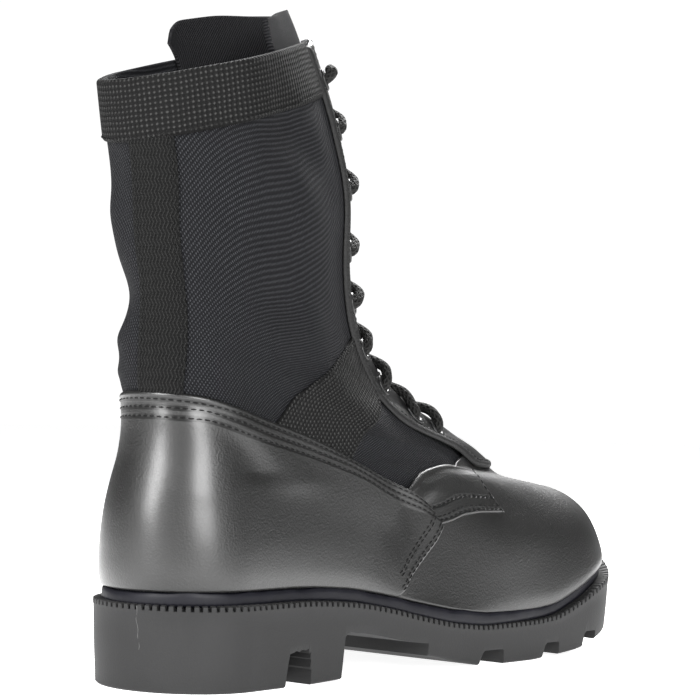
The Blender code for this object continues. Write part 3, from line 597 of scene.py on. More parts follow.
sole_rings = [
    rim_ring(0.0026, tread_height),
    rim_ring(0.0018, lambda x: tread_height(x) + 0.0007),
    rim_ring(0.0013, wall_height(0.25)),
    rim_ring(0.0008, wall_height(0.50)),
    rim_ring(0.0005, wall_height(0.72)),
    rim_ring(0.0002, lambda x: rim_height(x) - 0.0029),
    rim_ring(0.0000, lambda x: rim_height(x) - 0.0022),
    rim_ring(0.0000, lambda x: rim_height(x) - 0.0004, TOOTH_DROP - 0.0004, 0.0006),
    rim_ring(0.0005, rim_height, TOOTH_DROP),
    rim_ring(0.0036, lambda x: rim_height(x) + 0.0001, 0.0012),
    rim_ring(0.0044, lambda x: rim_height(x) + 0.0001),
    rim_ring(RIM_LEDGE, lambda x: rim_height(x) + 0.0002),
    rim_ring(RIM_LEDGE + 0.0006, lambda x: rim_height(x) + BED_RISE),
]
outsole = mesh_piece("sole", np.concatenate(sole_rings) + OFFSET, ring_faces(sole_rings), rubber)

# Lug grooves: from and to as shares of LENGTH, depth as a share of TREAD_DEPTH, length inwards as a share
# of BALL_WIDTH, how far the inner end lies forward as a share of LENGTH
GROOVES = (
    (0.556, 0.632, 0.95, 0.33, 0.020),
    (0.712, 0.768, 0.95, 0.33, 0.018),
    (0.818, 0.872, 0.95, 0.29, 0.014),
    (0.925, 0.966, 0.80, 0.20, 0.006),
)
below = -0.002


def prism(profile, y0, y1, taper=0.0, forward=0.0):
    """Closed solid of an XZ profile run from y0 to y1."""
    profile = np.array(profile)
    n = len(profile)
    middle = profile[:, 0].mean()
    near = np.column_stack([profile[:, 0], np.full(n, y0), profile[:, 1]])
    far_x = middle + (profile[:, 0] - middle) * (1 - taper) + forward
    far = np.column_stack([far_x, np.full(n, y1), profile[:, 1]])
    sides = [[i, (i + 1) % n, n + (i + 1) % n, n + i] for i in range(n)]
    return np.concatenate([near, far]), [list(range(n)), list(range(2 * n - 1, n - 1, -1)), *sides]


arch_end = 0.468 * LENGTH
breast = ((0.0, below), (0.0008, ARCH_HEIGHT * 0.92), (0.0022, ARCH_HEIGHT * 0.985), (0.0045, ARCH_HEIGHT))
arch = [(HEEL_LENGTH + a, b) for a, b in breast]
for t in np.linspace(0.12, 1.0, 12):
    x = HEEL_LENGTH + (arch_end - HEEL_LENGTH) * t
    arch.append((x, ARCH_HEIGHT - (ARCH_HEIGHT - TREAD_DEPTH * 1.75) * float(smooth(t * 0.92))))
arch.append((arch_end + 0.0012, below))
half_width = max(BALL_WIDTH, HEEL_WIDTH)
cuts = [prism(arch[::-1], -half_width, half_width)]
# The notch's edges are torn where the moulding was trimmed: places forward, and shares of NOTCH_HEIGHT.
NOTCH_EDGE = (
    (0.0010, 0.60), (0.0018, 0.94), (0.0042, 0.97), (0.0060, 1.02), (0.0076, 0.98), (0.0092, 1.03),
    (0.0116, 1.00), (0.0132, 1.05), (0.0138, 0.90), (0.0147, 0.95), (0.0145, 0.76), (0.0151, 0.72),
    (0.0149, 0.50), (0.0156, 0.44),
)
for side in (-1, 1):
    notch = [(0.0, below), *[(a, b * NOTCH_HEIGHT) for a, b in NOTCH_EDGE], (NOTCH_LENGTH, below)]
    notch = [(NOTCH_PLACE + a, b) for a, b in notch]
    cuts.append(prism(notch, side * half_width, side * (HEEL_WIDTH / 2 - NOTCH_DEPTH)))
    for start, end, depth, inwards, forward in GROOVES:
        x0, x1 = start * LENGTH, end * LENGTH
        slope = 0.16 * (x1 - x0)
        top = float(tread_height(np.array((x0 + x1) / 2))) + depth * TREAD_DEPTH
        groove = [(x0, below), (x0 + slope, top - 0.0012), (x0 + slope + 0.0016, top),
                  (x1 - slope * 0.5 - 0.0008, top), (x1 - slope * 0.5, top - 0.0006), (x1, below)]
        reach = side * (0.5 - inwards) * BALL_WIDTH
        cuts.append(prism(groove, side * half_width, reach, 0.25, forward * LENGTH))
verts, faces, base = [], [], 0
for points, quads in cuts:
    verts.append(points + OFFSET)
    faces += [[base + i for i in quad] for quad in quads]
    base += len(points)
cutter = mesh_piece("sole_cutter", np.concatenate(verts), faces, rubber)
carve = outsole.modifiers.new("lugs", "BOOLEAN")
carve.operation, carve.object, carve.solver, carve.use_self = "DIFFERENCE", cutter, "EXACT", True
bpy.ops.object.select_all(action="DESELECT")
bpy.context.view_layer.objects.active = outsole
outsole.select_set(True)
bpy.ops.object.modifier_apply(modifier="lugs")
bpy.data.objects.remove(cutter)
work = bmesh.new()
work.from_mesh(outsole.data)
bmesh.ops.remove_doubles(work, verts=work.verts, dist=2e-6)
work.verts.ensure_lookup_table()
BEVEL_UNDER = 0.0045  # below the rim's top
low_edges = [
    e for e in work.edges
    if len(e.link_faces) == 2 and e.calc_face_angle() > math.radians(38)
    and max(v.co.z - float(rim_height(np.array(v.co.x - OFFSET[0]))) for v in e.verts) < -BEVEL_UNDER
]
bmesh.ops.bevel(work, geom=low_edges, offset=0.00035, segments=2, profile=0.5, affect="EDGES",
                clamp_overlap=True)
work.to_mesh(outsole.data)
work.free()
outsole.data.shade_smooth()
outsole.data.set_sharp_from_angle(angle=math.radians(32))
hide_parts("outsole")

# Flash: the thin torn web of rubber that the two halves of the mould leave at the heel's back.
flash_finish = Finish("rubber_flash")
flash_tone = flash_finish.mix(flash_finish.noise(0.004), (0.02, 0.02, 0.02), (0.09, 0.09, 0.09))
flash_finish.shade(base_color=flash_tone, roughness=0.7)


def tube(points, radius, sides=8, shares=None):
    """Closed tube along points; shares gives its radius at each point as a share of radius."""
    points = np.asarray(points, float)
    tangent = np.gradient(points, axis=0)
    tangent /= np.linalg.norm(tangent, axis=1, keepdims=True)
    shares = np.ones(len(points)) if shares is None else shares
    across = np.cross(tangent[0], (0.3, 0.1, 1.0) if abs(tangent[0][2]) < 0.9 else (1.0, 0.2, 0.0))
    verts, faces, uv = [], [], []
    length = 0.0
    for k, point in enumerate(points):
        across = across - tangent[k] * (across @ tangent[k])
        across /= np.linalg.norm(across)
        third = np.cross(tangent[k], across)
        length += np.linalg.norm(points[k] - points[k - 1]) if k else 0.0
        for i in range(sides):
            a = 2 * math.pi * i / sides
            verts.append(point + (across * math.cos(a) + third * math.sin(a)) * radius * shares[k])
            uv.append((a * radius, length))
    for k in range(len(points) - 1):
        for i in range(sides):
            j = (i + 1) % sides
            faces.append([k * sides + i, k * sides + j, (k + 1) * sides + j, (k + 1) * sides + i])
    faces.append(list(range(sides))[::-1])
    faces.append([(len(points) - 1) * sides + i for i in range(sides)])
    return np.array(verts), faces, np.array(uv)


FLASH_SIDE = -0.0075  # beside the heel's centre line, outer side
near_back = RIM_POINTS[:, 0] < 0.05
order = np.argsort(np.abs(RIM_POINTS[:, 1] - FLASH_SIDE) + 10 * ~near_back)
spot = RIM_POINTS[order[0]]
heights = np.linspace(0.0006, HEEL_HEIGHT - 0.0006, 26)
wander = 0.0005 * np.sin(heights * 260) + 0.0003 * np.sin(heights * 900 + 1.0)
inset = 0.0022 * (1 - heights / HEEL_HEIGHT)
line = np.stack([spot[0] + inset + 0 * heights, spot[1] + wander, heights], axis=1) + OFFSET
widths = 0.55 + 0.35 * np.sin(heights * 1500) * np.sin(heights * 370)
verts, faces, _ = tube(line, 0.00038, 6, widths)
flash = mesh_piece("mould_flash", verts, faces, flash_finish)

# Cement and bed: the dark, uneven band where the leather goes down into the rubber. Its near-black colour is
# partly the joint's black cement and partly painted shade of the recess there.
cement_and_painted_shade = Finish("cement_and_painted_shade")
cement_and_painted_shade.shade(base_color=cement_and_painted_shade.mix(cement_and_painted_shade.noise(0.006), (0.0015, 0.0015, 0.0035), (0.006, 0.006, 0.010)),
             roughness=0.42 + 0.2 * cement_and_painted_shade.noise(0.003), specular_ior_level=0.25)
CEMENT_COLUMNS = 480
step = np.arange(CEMENT_COLUMNS) / CEMENT_COLUMNS
foot = on_table(FACE, step, np.full(CEMENT_COLUMNS, 0.0))
outward = normal_at(step, np.full(CEMENT_COLUMNS, 0.05))
outward[:, 2] = 0
outward /= np.linalg.norm(outward, axis=1, keepdims=True)
turn = step * 2 * math.pi
waves = 0.35 * np.sin(turn * 9 + 1) + 0.3 * np.sin(turn * 17 + 2)
waves = waves + 0.2 * np.sin(turn * 31) + 0.15 * np.sin(turn * 53 + 4)
# each ring's distance outside the leather's foot, height over it, and how uneven it is
CEMENT_RINGS = (
    (0.0016, -0.0046, 0.0), (0.0019, -0.0030, 0.2), (0.0018, -0.0010, 0.5), (0.0016, 0.0004, 1.0),
    (0.0008, 0.0010, 1.0), (-0.0008, 0.0008, 0.0), (-0.0008, -0.0046, 0.0),
)
cement_rings = []
for out, lift, wavy in CEMENT_RINGS:
    ring = foot + outward * (out + 0.0003 * wavy * waves)[:, None]
    ring[:, 2] += lift + 0.0007 * wavy * waves
    cement_rings.append(ring)
cement_and_shade_band = mesh_piece("cement_and_shade_band", np.concatenate(cement_rings), ring_faces(cement_rings, True), cement_and_painted_shade)

# Insole: a thin fabric-covered sheet on the sole's bed, inside the upper.
INSOLE_THICK = 0.0035
UPPER_WALL = 0.0022
CLEAR = 0.0003
insole_cloth = Finish("insole_cloth")
across, along = insole_cloth.cloth()
rib = across.wave(0.0016) * along.wave(0.0016)
insole_tone = insole_cloth.mix(rib.step(-0.6, 0.8), (0.012, 0.012, 0.012), (0.030, 0.030, 0.031))
insole_cloth.shade(base_color=insole_tone, roughness=0.9, normal=insole_cloth.bump(rib, 0.00015))
# each ring's distance inside the leather's foot, and height over the sheet's underside
INSOLE_RINGS = ((0.0036, 0.0), (0.0034, 0.0022), (0.0040, 0.0033), (0.0055, INSOLE_THICK), (0.014, 0.0032))
rings = []
for inset, lift in INSOLE_RINGS:
    ring = foot - outward * inset
    ring[:, 2] = rim_height(ring[:, 0] - OFFSET[0]) + BED_RISE + CLEAR * 2 + lift
    rings.append(ring)
verts = np.concatenate(rings)
insole = mesh_piece("insole_sheet", verts, ring_faces(rings), insole_cloth, uv=verts[:, :2])
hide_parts("insole")

# Shaft: nylon cloth and its lining as one wall, from the feather edge to the collar, open at the throat.
THROAT_GAP = 0.0110
THROAT = level("throat")
nylon = Finish("nylon_cloth")
across, along = nylon.cloth()
drift = nylon.noise(0.02, 2.0)
weave = (across + drift * 0.0006).wave(0.00153) * (along + drift * 0.0005).wave(0.00244)
fuzz = nylon.noise(0.0012, 2.0)
# The weave's dot pattern, with painted highlight: the colour is lighter where the weave stands up.
painted_dot_highlight = (weave + (fuzz - 0.5) * 0.7).step(0.05, 0.95)
nylon.shade(
    base_color=nylon.mix(painted_dot_highlight, (0.0025, 0.0026, 0.0036), (0.026, 0.027, 0.030)),
    roughness=0.85 - 0.2 * painted_dot_highlight,
    specular_ior_level=0.18,
    normal=nylon.bump(weave + fuzz * 0.5, 0.00022),
)
COLUMNS, ROWS_UP = 300, 180


def throat_gap(v):
    """Half the throat's opening, along the girth: a narrow U from the throat's end up."""
    rise = np.clip((np.asarray(v, float) - THROAT) / 0.05, 0, 1)
    return THROAT_GAP * np.sqrt(1 - (1 - rise) ** 2)


shell_levels = np.concatenate([
    np.linspace(0, 0.12, 10), np.linspace(0.13, THROAT, 22)[:-1], np.linspace(THROAT, 1.0, ROWS_UP - 31),
])
throat_row = int(np.searchsorted(shell_levels, THROAT))
share = np.arange(COLUMNS + 1) / COLUMNS
low_u = np.array([girth_share(v, throat_gap(v), 0) for v in shell_levels])
high_u = np.array([1 - girth_share(v, throat_gap(v), 1) for v in shell_levels])
u = low_u[:, None] + (high_u - low_u)[:, None] * share[None, :]
v = np.repeat(shell_levels[:, None], COLUMNS + 1, axis=1)
outer, inner = on_face(u, v), on_face(u, v, -UPPER_WALL)


def distances(grid, axis):
    """Distance run along the grid's rows (axis 0) or columns (axis 1)."""
    step = np.linalg.norm(np.diff(grid, axis=axis), axis=2)
    start = np.zeros((1, grid.shape[1])) if axis == 0 else np.zeros((grid.shape[0], 1))
    return np.concatenate([start, np.cumsum(step, axis=axis)], axis=axis)


def metres(grid, middle):
    """Cloth coordinates of a grid, the first counted from the column middle."""
    across, along = distances(grid, 1), distances(grid, 0)
    return np.stack([across - across[:, middle:middle + 1], along], axis=2)


rows, columns = u.shape
count = rows * columns
uv = np.concatenate([metres(outer, COLUMNS // 2).reshape(-1, 2)] * 2)
quads = quads_of(np.arange(count).reshape(rows, columns))
faces = quads.tolist() + (quads[:, ::-1] + count).tolist()
for c in range(columns - 1):
    faces.append([c, c + 1, count + c + 1, count + c])
    top = (rows - 1) * columns + c
    faces.append([top, count + top, count + top + 1, top + 1])
for r in range(throat_row, rows - 1):
    for c in (0, columns - 1):
        a, b = r * columns + c, (r + 1) * columns + c
        faces.append([a, b, count + b, count + a])
verts = np.concatenate([outer.reshape(-1, 3), inner.reshape(-1, 3)])
shaft = mesh_piece("shaft", verts, faces, nylon, uv=uv)
work = bmesh.new()
work.from_mesh(shaft.data)
bmesh.ops.remove_doubles(work, verts=work.verts, dist=1e-6)
bmesh.ops.recalc_face_normals(work, faces=work.faces)
work.to_mesh(shaft.data)
work.free()
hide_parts("upper")


# Leather foot: vamp and quarter, cut from smooth black cowhide and sewn down over the nylon. Both are made
# as thin shells on the upper's face whose edges round down to it.
LEATHER = 0.0016


class Laid:
    """A piece laid over the upper's face: a grid of girths u and levels v, from its lower to its upper edge.
    low is the height of its underside over the face, and extra what stands out or is pressed in."""

    def __init__(self, name, u, v, finish, low, thickness, extra=0.0):
        base = on_face(u, v)
        self.normal = normal_at(u, v)
        self.up, self.left = distances(base, 0), distances(base, 1)
        self.down, self.right = self.up[-1:] - self.up, self.left[:, -1:] - self.left
        edge = np.minimum(np.minimum(self.up, self.down), np.minimum(self.left, self.right))
        shape = np.sqrt(1 - (1 - np.clip(edge / thickness, 0, 1)) ** 2)
        low = np.broadcast_to(low, u.shape)
        rise = low + thickness * shape + extra * np.clip(edge / 0.003, 0, 1)
        self.outer = base + self.normal * rise[..., None]
        inner = base + self.normal * low[..., None]
        rows, columns = u.shape
        count = rows * columns
        index = np.arange(count).reshape(rows, columns)
        under = index.copy()
        under[1:-1, 1:-1] = count + np.arange((rows - 2) * (columns - 2)).reshape(rows - 2, columns - 2)
        faces = quads_of(index).tolist() + quads_of(under)[:, ::-1].tolist()
        cloth = metres(base, columns // 2)
        both = [self.outer.reshape(-1, 3), inner[1:-1, 1:-1].reshape(-1, 3)]
        uv = np.concatenate([cloth.reshape(-1, 2), cloth[1:-1, 1:-1].reshape(-1, 2)])
        values = {}
        for key in ("up", "down", "left", "right"):
            numbers = getattr(self, key)
            values[key] = np.concatenate([numbers.ravel(), numbers[1:-1, 1:-1].ravel()])
        self.item = mesh_piece(name, np.concatenate(both), faces, finish, uv=uv, values=values)

    def seam(self, edge, distance, start=0.0, end=1.0):
        """Points and normals along an edge ("up", "down", "left" or "right"), a distance inside it."""
        field = getattr(self, edge)
        points, normals = [], []
        lines = range(field.shape[1]) if edge in ("up", "down") else range(field.shape[0])
        for k in lines:
            if not start <= k / (len(lines) - 1) <= end:
                continue
            cut = (slice(None), k) if edge in ("up", "down") else (k, slice(None))
            run, place, normal = field[cut], self.outer[cut], self.normal[cut]
            if run[0] > run[-1]:
                run, place, normal = run[::-1], place[::-1], normal[::-1]
            points.append([np.interp(distance, run, place[:, a]) for a in range(3)])
            normals.append([np.interp(distance, run, normal[:, a]) for a in range(3)])
        return np.array(points), np.array(normals)


def stops(length, edge, step):
    """Shares from 0 to 1, closer together within edge of both ends."""
    fine = np.array([0.0, 0.06, 0.2, 0.45, 0.75, 1.1, 1.6]) * edge / length
    inner = np.linspace(fine[-1], 1 - fine[-1], max(int((length - 3.2 * edge) / step), 2))
    return np.concatenate([fine[:-1], inner, 1 - fine[-2::-1]])


def leather_finish(name, tone, rough, shine, seams=()):
    """Smooth black leather. seams: (attribute, distances) of the stitch rows pressed into it."""
    hide = Finish(name)
    grain = hide.cells(0.0011)
    pores = hide.noise(0.0007, 3.0)
    broad = hide.noise(0.018, 3.0)
    dust = hide.noise(0.0045, 4.0)
    height = grain * 1.3 + pores * 2.2 + broad * 3.5
    for key, rows_at in seams:
        run = hide.value(key)
        for distance in rows_at:
            height = height - 12.0 * (1 - ((run - distance).abs()).step(0.0, 0.0013))
    colour = hide.mix(dust.step(0.55, 0.8), tone, tuple(c * 1.7 for c in tone))
    hide.shade(
        base_color=colour,
        roughness=rough + 0.10 * broad + 0.06 * dust,
        specular_ior_level=0.35,
        coat_weight=shine,
        coat_roughness=0.30,
        normal=hide.bump(height, 0.00011),
    )
    return hide


LEATHER_TONE = (0.004, 0.004, 0.0038)
QUARTER_SEAMS = (0.0031, 0.0068, 0.0106)  # stitch rows below the quarter's top edge
WING_SEAMS = (0.0022, 0.0042, 0.0096)  # stitch rows above the wing's lower edge
OVER_VAMP = 0.0013  # height of what lies on the vamp's leather, over the nylon
OVER_WING = 0.0010  # the same for the quarter on the wing's leather, besides
# rows from the quarter's front end to the heel's centre: girth and level of the lower and the top edge
QUARTER = (
    (0.00, 0.240, 0.113, 0.247, 0.143),
    (0.05, 0.252, 0.092, 0.257, 0.165),
    (0.12, 0.266, 0.070, 0.268, 0.180),
    (0.22, 0.283, 0.040, 0.282, 0.201),
    (0.34, 0.300, 0.004, 0.298, 0.231),
    (0.48, 0.332, 0.004, 0.316, 0.266),
    (0.62, 0.365, 0.004, 0.350, 0.294),
    (0.74, 0.405, 0.004, 0.395, 0.316),
    (0.87, 0.455, 0.004, 0.450, 0.352),
    (1.00, 0.500, 0.004, 0.500, 0.357),
)
# the wing, from its front edge to its end under the quarter, in the same way
WING = (
    (0.00, 0.164, 0.136, 0.112, 0.262),
    (0.22, 0.188, 0.136, 0.150, 0.276),
    (0.45, 0.209, 0.132, 0.196, 0.246),
    (0.68, 0.227, 0.122, 0.231, 0.211),
    (0.86, 0.245, 0.112, 0.252, 0.180),
    (1.00, 0.258, 0.098, 0.266, 0.158),
)
WING_BOW = 0.014  # how far its front edge bows out in its middle, as a share of girth
VAMP = ((0.004, 0.301), (0.045, 0.282), (0.080, 0.263), (0.112, 0.244), (0.128, 0.222), (0.138, 0.190),
        (0.150, 0.168), (0.200, 0.160), (0.240, 0.145), (0.280, 0.120), (0.335, 0.070))
VAMP_UNDER = 0.018  # how far the vamp runs on under the quarter, as a share of girth
leather = leather_finish("leather_vamp", LEATHER_TONE, 0.42, 0.60)
table = np.array(VAMP)
t = stops(0.12, LEATHER, 0.0011)
v = curve_through(np.linspace(0, 1, len(table)), table[:, 0], t)[:, 0]
reach = curve_through(table[:, 0], table[:, 1], v)[:, 0] + VAMP_UNDER * smooth((0.33 - v) / 0.05)
s = stops(0.20, LEATHER, 0.0011) * 2 - 1
u, v = s[None, :] * reach[:, None], np.repeat(v[:, None], len(s), axis=1)
vamp = Laid("vamp_leather", u % 1.0, v, leather, CLEAR, LEATHER * 0.8)
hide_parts("vamp")

quarter_leather = leather_finish("leather_quarter", LEATHER_TONE, 0.38, 0.90, (("down", QUARTER_SEAMS),))
table = np.array(QUARTER)
back = table[-2::-1]
mirrored = np.column_stack([1 - back[:, 1], back[:, 2], 1 - back[:, 3], back[:, 4]])
s = stops(0.42, LEATHER, 0.0012)
places = np.concatenate([table[:, 0], 2 - back[:, 0]]) / 2
edge = curve_through(places, np.vstack([table[:, 1:], mirrored]), s)
t = stops(0.075, LEATHER, 0.0011)[:, None]
place = np.minimum(s, 1 - s)[None, :] * 2
u = edge[:, 0] * (1 - t) + edge[:, 2] * t
v = edge[:, 1] * (1 - t) + edge[:, 3] * t
from_low = distances(on_face(u, v), 0)
over_vamp = (1 - smooth((place - 0.30) / 0.12)) * (1 - smooth((from_low - 0.010) / 0.020))
over_wing = 1 - smooth((place - 0.02) / 0.16)
low = CLEAR + OVER_VAMP * np.maximum(over_vamp, over_wing) + OVER_WING * over_wing
quarter = Laid("quarter_leather", u, v, quarter_leather, low, LEATHER)
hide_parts("quarter")

# Wings: the quarter's front ends, a thinner leather that runs on over the vamp to the facings.
wing_leather = leather_finish("leather_wing", LEATHER_TONE, 0.42, 0.60, (("up", WING_SEAMS[::2]),))
table = np.array(WING)
s = stops(0.085, LEATHER, 0.0010)
edge = curve_through(table[:, 0], table[:, 1:], s)
t = stops(0.035, LEATHER, 0.0010)[:, None]
bow = WING_BOW * 4 * t * (1 - t) * (1 - smooth(s / 0.5))[None, :]
u = edge[:, 0] * (1 - t) + edge[:, 2] * t + bow
v = edge[:, 1] * (1 - t) + edge[:, 3] * t
from_top = distances(on_face(u, v), 0)
from_top = from_top[-1:] - from_top
hem = 0.0005 * np.exp(-((from_top - 0.0016) / 0.0011) ** 2)
puff = 0.0007 * np.exp(-((from_top - 0.0085) / 0.004) ** 2)
clear_of_quarter = 1 - smooth((s[None, :] - 0.80) / 0.2)
lying = 1 - smooth((v - 0.165) / 0.05) + 0 * u
wings = []
for side, word in ((0, "outer"), (1, "inner")):
    wing = Laid("wing_" + word, u if side == 0 else 1 - u, v, wing_leather, CLEAR + OVER_VAMP * lying,
                LEATHER * 0.7, extra=(hem + puff) * clear_of_quarter)
    wings.append(wing)

# Thread: waxed black lockstitch. Each row is a line of short stitches, sunk at their ends.
thread = Finish("thread")
twist = thread.noise(0.0004, 2.0)
thread.shade(base_color=thread.mix(twist, (0.001, 0.001, 0.001), (0.005, 0.005, 0.005)), roughness=0.6,
             specular_ior_level=0.2)


def stitch_rows(name, runs, pitch=0.0033, length=0.0029, radius=0.00030):
    """One mesh of all the stitches of some runs, each run being points and normals."""
    verts, faces = [], []
    sides = 5
    # places along a stitch, its widths there and its heights over the leather, as shares
    shares, widths = (0.0, 0.22, 0.5, 0.78, 1.0), (0.0, 0.85, 1.0, 0.85, 0.0)
    lifts = (-0.5, 0.15, 0.45, 0.15, -0.5)
    for points, normals in runs:
        arc = np.concatenate([[0.0], np.cumsum(np.linalg.norm(np.diff(points, axis=0), axis=1))])
        for k in range(int(arc[-1] / pitch)):
            at = (k + 0.1) * pitch + np.array(shares) * length
            if at[-1] > arc[-1]:
                break
            place = np.stack([np.interp(at, arc, points[:, a]) for a in range(3)], axis=1)
            normal = np.array([np.interp(at[2], arc, normals[:, a]) for a in range(3)])
            normal /= np.linalg.norm(normal)
            run = place[-1] - place[0]
            run /= np.linalg.norm(run)
            side = np.cross(run, normal)
            first = len(verts)
            verts.append(place[0] + normal * radius * lifts[0])
            for m in (1, 2, 3):
                middle = place[m] + normal * radius * lifts[m]
                for i in range(sides):
                    a = 2 * math.pi * i / sides
                    verts.append(middle + (side * math.cos(a) + normal * math.sin(a)) * radius * widths[m])
            verts.append(place[4] + normal * radius * lifts[4])
            for i in range(sides):
                j = (i + 1) % sides
                faces.append([first, first + 1 + j, first + 1 + i])
                for m in (0, 1):
                    a = first + 1 + m * sides
                    faces.append([a + i, a + j, a + sides + j, a + sides + i])
                last = first + 1 + 2 * sides
                faces.append([last + i, last + j, first + 1 + 3 * sides])
    return mesh_piece(name, np.array(verts), faces, thread)


quarter_runs = [quarter.seam("down", d, 0.004, 0.996) for d in QUARTER_SEAMS]
for d in (0.0016, 0.0034, 0.0078, 0.0096):  # the two pairs down each front end, to the rubber
    quarter_runs.append(quarter.seam("up", d, 0.010, 0.168))
    quarter_runs.append(quarter.seam("up", d, 0.832, 0.990))
for wing in wings:
    quarter_runs += [wing.seam("up", d, 0.02, 0.86) for d in WING_SEAMS] + [wing.seam("left", 0.0020)]
quarter_thread = stitch_rows("quarter_stitches", quarter_runs)

# Tapes: nylon webbing with a coarse basket weave round the collar and at the ankle, and a chevron weave
# up the back seam.
WEBBING = 0.0014


# Webbing: the third number given is the tone of a painted highlight on the weave's raised points.
def webbing_finish(name, pitch_across, pitch_along, painted_dot_highlight, chevron=0.0):
    tape = Finish(name)
    across, along = tape.cloth()
    drift = tape.noise(0.012, 2.0)
    fuzz = tape.noise(0.0011, 2.0)
    if chevron:
        zigzag = ((along / chevron).fract() - 0.5).abs() * 2.0
        rib = (across / pitch_across + zigzag * 0.7 + drift * 0.8).wave(1.0)
        height = rib + along.wave(pitch_along) * 0.25
    else:
        sway = drift * 0.0010
        height = ((across + sway).wave(pitch_across) + (along + sway).wave(pitch_along)) * 0.5
    height = height + (fuzz - 0.5) * 1.1
    # Colour is lighter on the weave's raised points as painted highlight, and darker in its hollows as painted
    # shade.
    painted_weave_highlight = height.step(0.25, 1.0)
    painted_hollow_shade = height.step(-1.1, -0.2)
    ground_with_painted_shade = tape.mix(painted_hollow_shade, (0.0006, 0.0006, 0.0006), (0.002, 0.002, 0.002))
    tape.shade(
        base_color=tape.mix(painted_weave_highlight, ground_with_painted_shade, (painted_dot_highlight, painted_dot_highlight, painted_dot_highlight * 0.97)),
        roughness=0.80,
        specular_ior_level=0.18,
        normal=tape.bump(height, 0.00030),
    )
    return tape


def edge_patch(first, second, length, width):
    """Grid of girths and levels between two edges, each a short list of (girth, level), along then across."""
    s, t = stops(length, WEBBING, 0.0011), stops(width, WEBBING, 0.0011)
    lines = []
    for line in (first, second):
        line = np.array(line)
        legs = np.hypot(np.diff(line[:, 0]) * mean_round, np.diff(line[:, 1]) * RISE)
        run = np.concatenate([[0.0], np.cumsum(legs)])
        lines.append(curve_through(run / run[-1], line, s))
    u = lines[0][:, 0][:, None] * (1 - t) + lines[1][:, 0][:, None] * t
    v = lines[0][:, 1][:, None] * (1 - t) + lines[1][:, 1][:, None] * t
    return u, v


BACK_LEFT = ((0.504, 0.330), (0.500, 0.600), (0.500, 0.885))
BACK_RIGHT = ((0.464, 0.330), (0.436, 0.600), (0.434, 0.885))
back_tape = webbing_finish("webbing_chevron", 0.00145, 0.0012, 0.012, 0.0047)
u, v = edge_patch(BACK_RIGHT, BACK_LEFT, 0.13, 0.028)
back = Laid("back_tape", u, v, back_tape, CLEAR * 0.3, WEBBING)
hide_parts("back_strap")
tape_runs = [back.seam("left", 0.0022), back.seam("right", 0.0022)]

ANKLE_HIGH = ((0.085, 0.600), (0.159, 0.558), (0.256, 0.477), (0.325, 0.402), (0.385, 0.285))
ANKLE_LOW = ((0.115, 0.490), (0.177, 0.415), (0.235, 0.349), (0.262, 0.318), (0.312, 0.210))
basket = webbing_finish("webbing_basket", 0.00195, 0.00195, 0.034)
for side, word in ((0, "outer"), (1, "inner")):
    u, v = edge_patch(ANKLE_HIGH, ANKLE_LOW, 0.09, 0.033)
    if side:
        u = 1 - u
    strap = Laid("ankle_tape_" + word, u, v, basket, CLEAR * 0.3, WEBBING * 0.8)
    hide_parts("ankle_strap_" + word)
    tape_runs += [strap.seam("left", 0.0020), strap.seam("right", 0.0020)]

BAND_WIDTH = 0.0245
BAND_START = 0.104
collar_weave = webbing_finish("webbing_collar", 0.00205, 0.00208, 0.030)
s = stops(0.26, WEBBING, 0.0011)
band_u = BAND_START + (1 - 2 * BAND_START) * s
TOP_TENTH = 0.9  # level down to which the collar's own rise is measured
top_run = np.linalg.norm(on_table(FACE, band_u, 1.0) - on_table(FACE, band_u, TOP_TENTH), axis=1)
band_low = 1.0 - (1.0 - TOP_TENTH) * BAND_WIDTH / top_run
t = stops(BAND_WIDTH, WEBBING, 0.0010)[:, None]
u, v = np.repeat(band_u[None, :], len(t), axis=0), band_low * (1 - t) + t
band = Laid("collar_tape", u, v, collar_weave, CLEAR * 0.3, WEBBING * 1.15)
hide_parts("collar_band")
tape_runs += [band.seam("up", 0.0018)]
tape_thread = stitch_rows("tape_stitches", tape_runs, pitch=0.0026, length=0.0019, radius=0.00034)

# Facings: glossy leather strips beside the throat, with a rolled rim and a pressed line inside it.
# Each row holds a level on the front centre line and the distance beside it of the facing's outer edge.
FACING = (
    (0.318, 0.0130), (0.332, 0.0215), (0.352, 0.0268), (0.372, 0.0300), (0.409, 0.0290), (0.445, 0.0310),
    (0.486, 0.0342), (0.525, 0.0362), (0.555, 0.0335), (0.585, 0.0290), (0.620, 0.0276), (0.680, 0.0280),
    (0.740, 0.0288), (0.820, 0.0300), (0.900, 0.0306), (0.955, 0.0298), (1.0, 0.0280),
)
TIP_INSET = 0.0055
RIM_BEAD = 0.0042  # the rolled rim's width
facing_leather = leather_finish("leather_facing", (0.013, 0.013, 0.013), 0.16, 0.8,
                                (("right", (RIM_BEAD + 0.0003,)), ("left", (0.0022,))))
rim_dull = 1 - facing_leather.value("right").step(RIM_BEAD - 0.0004, RIM_BEAD + 0.0004)
facing_leather.shade(base_color=facing_leather.mix(rim_dull, (0.012, 0.012, 0.012), (0.003, 0.003, 0.003)),
                     roughness=0.16 + 0.45 * rim_dull, coat_weight=0.8 - 0.75 * rim_dull)


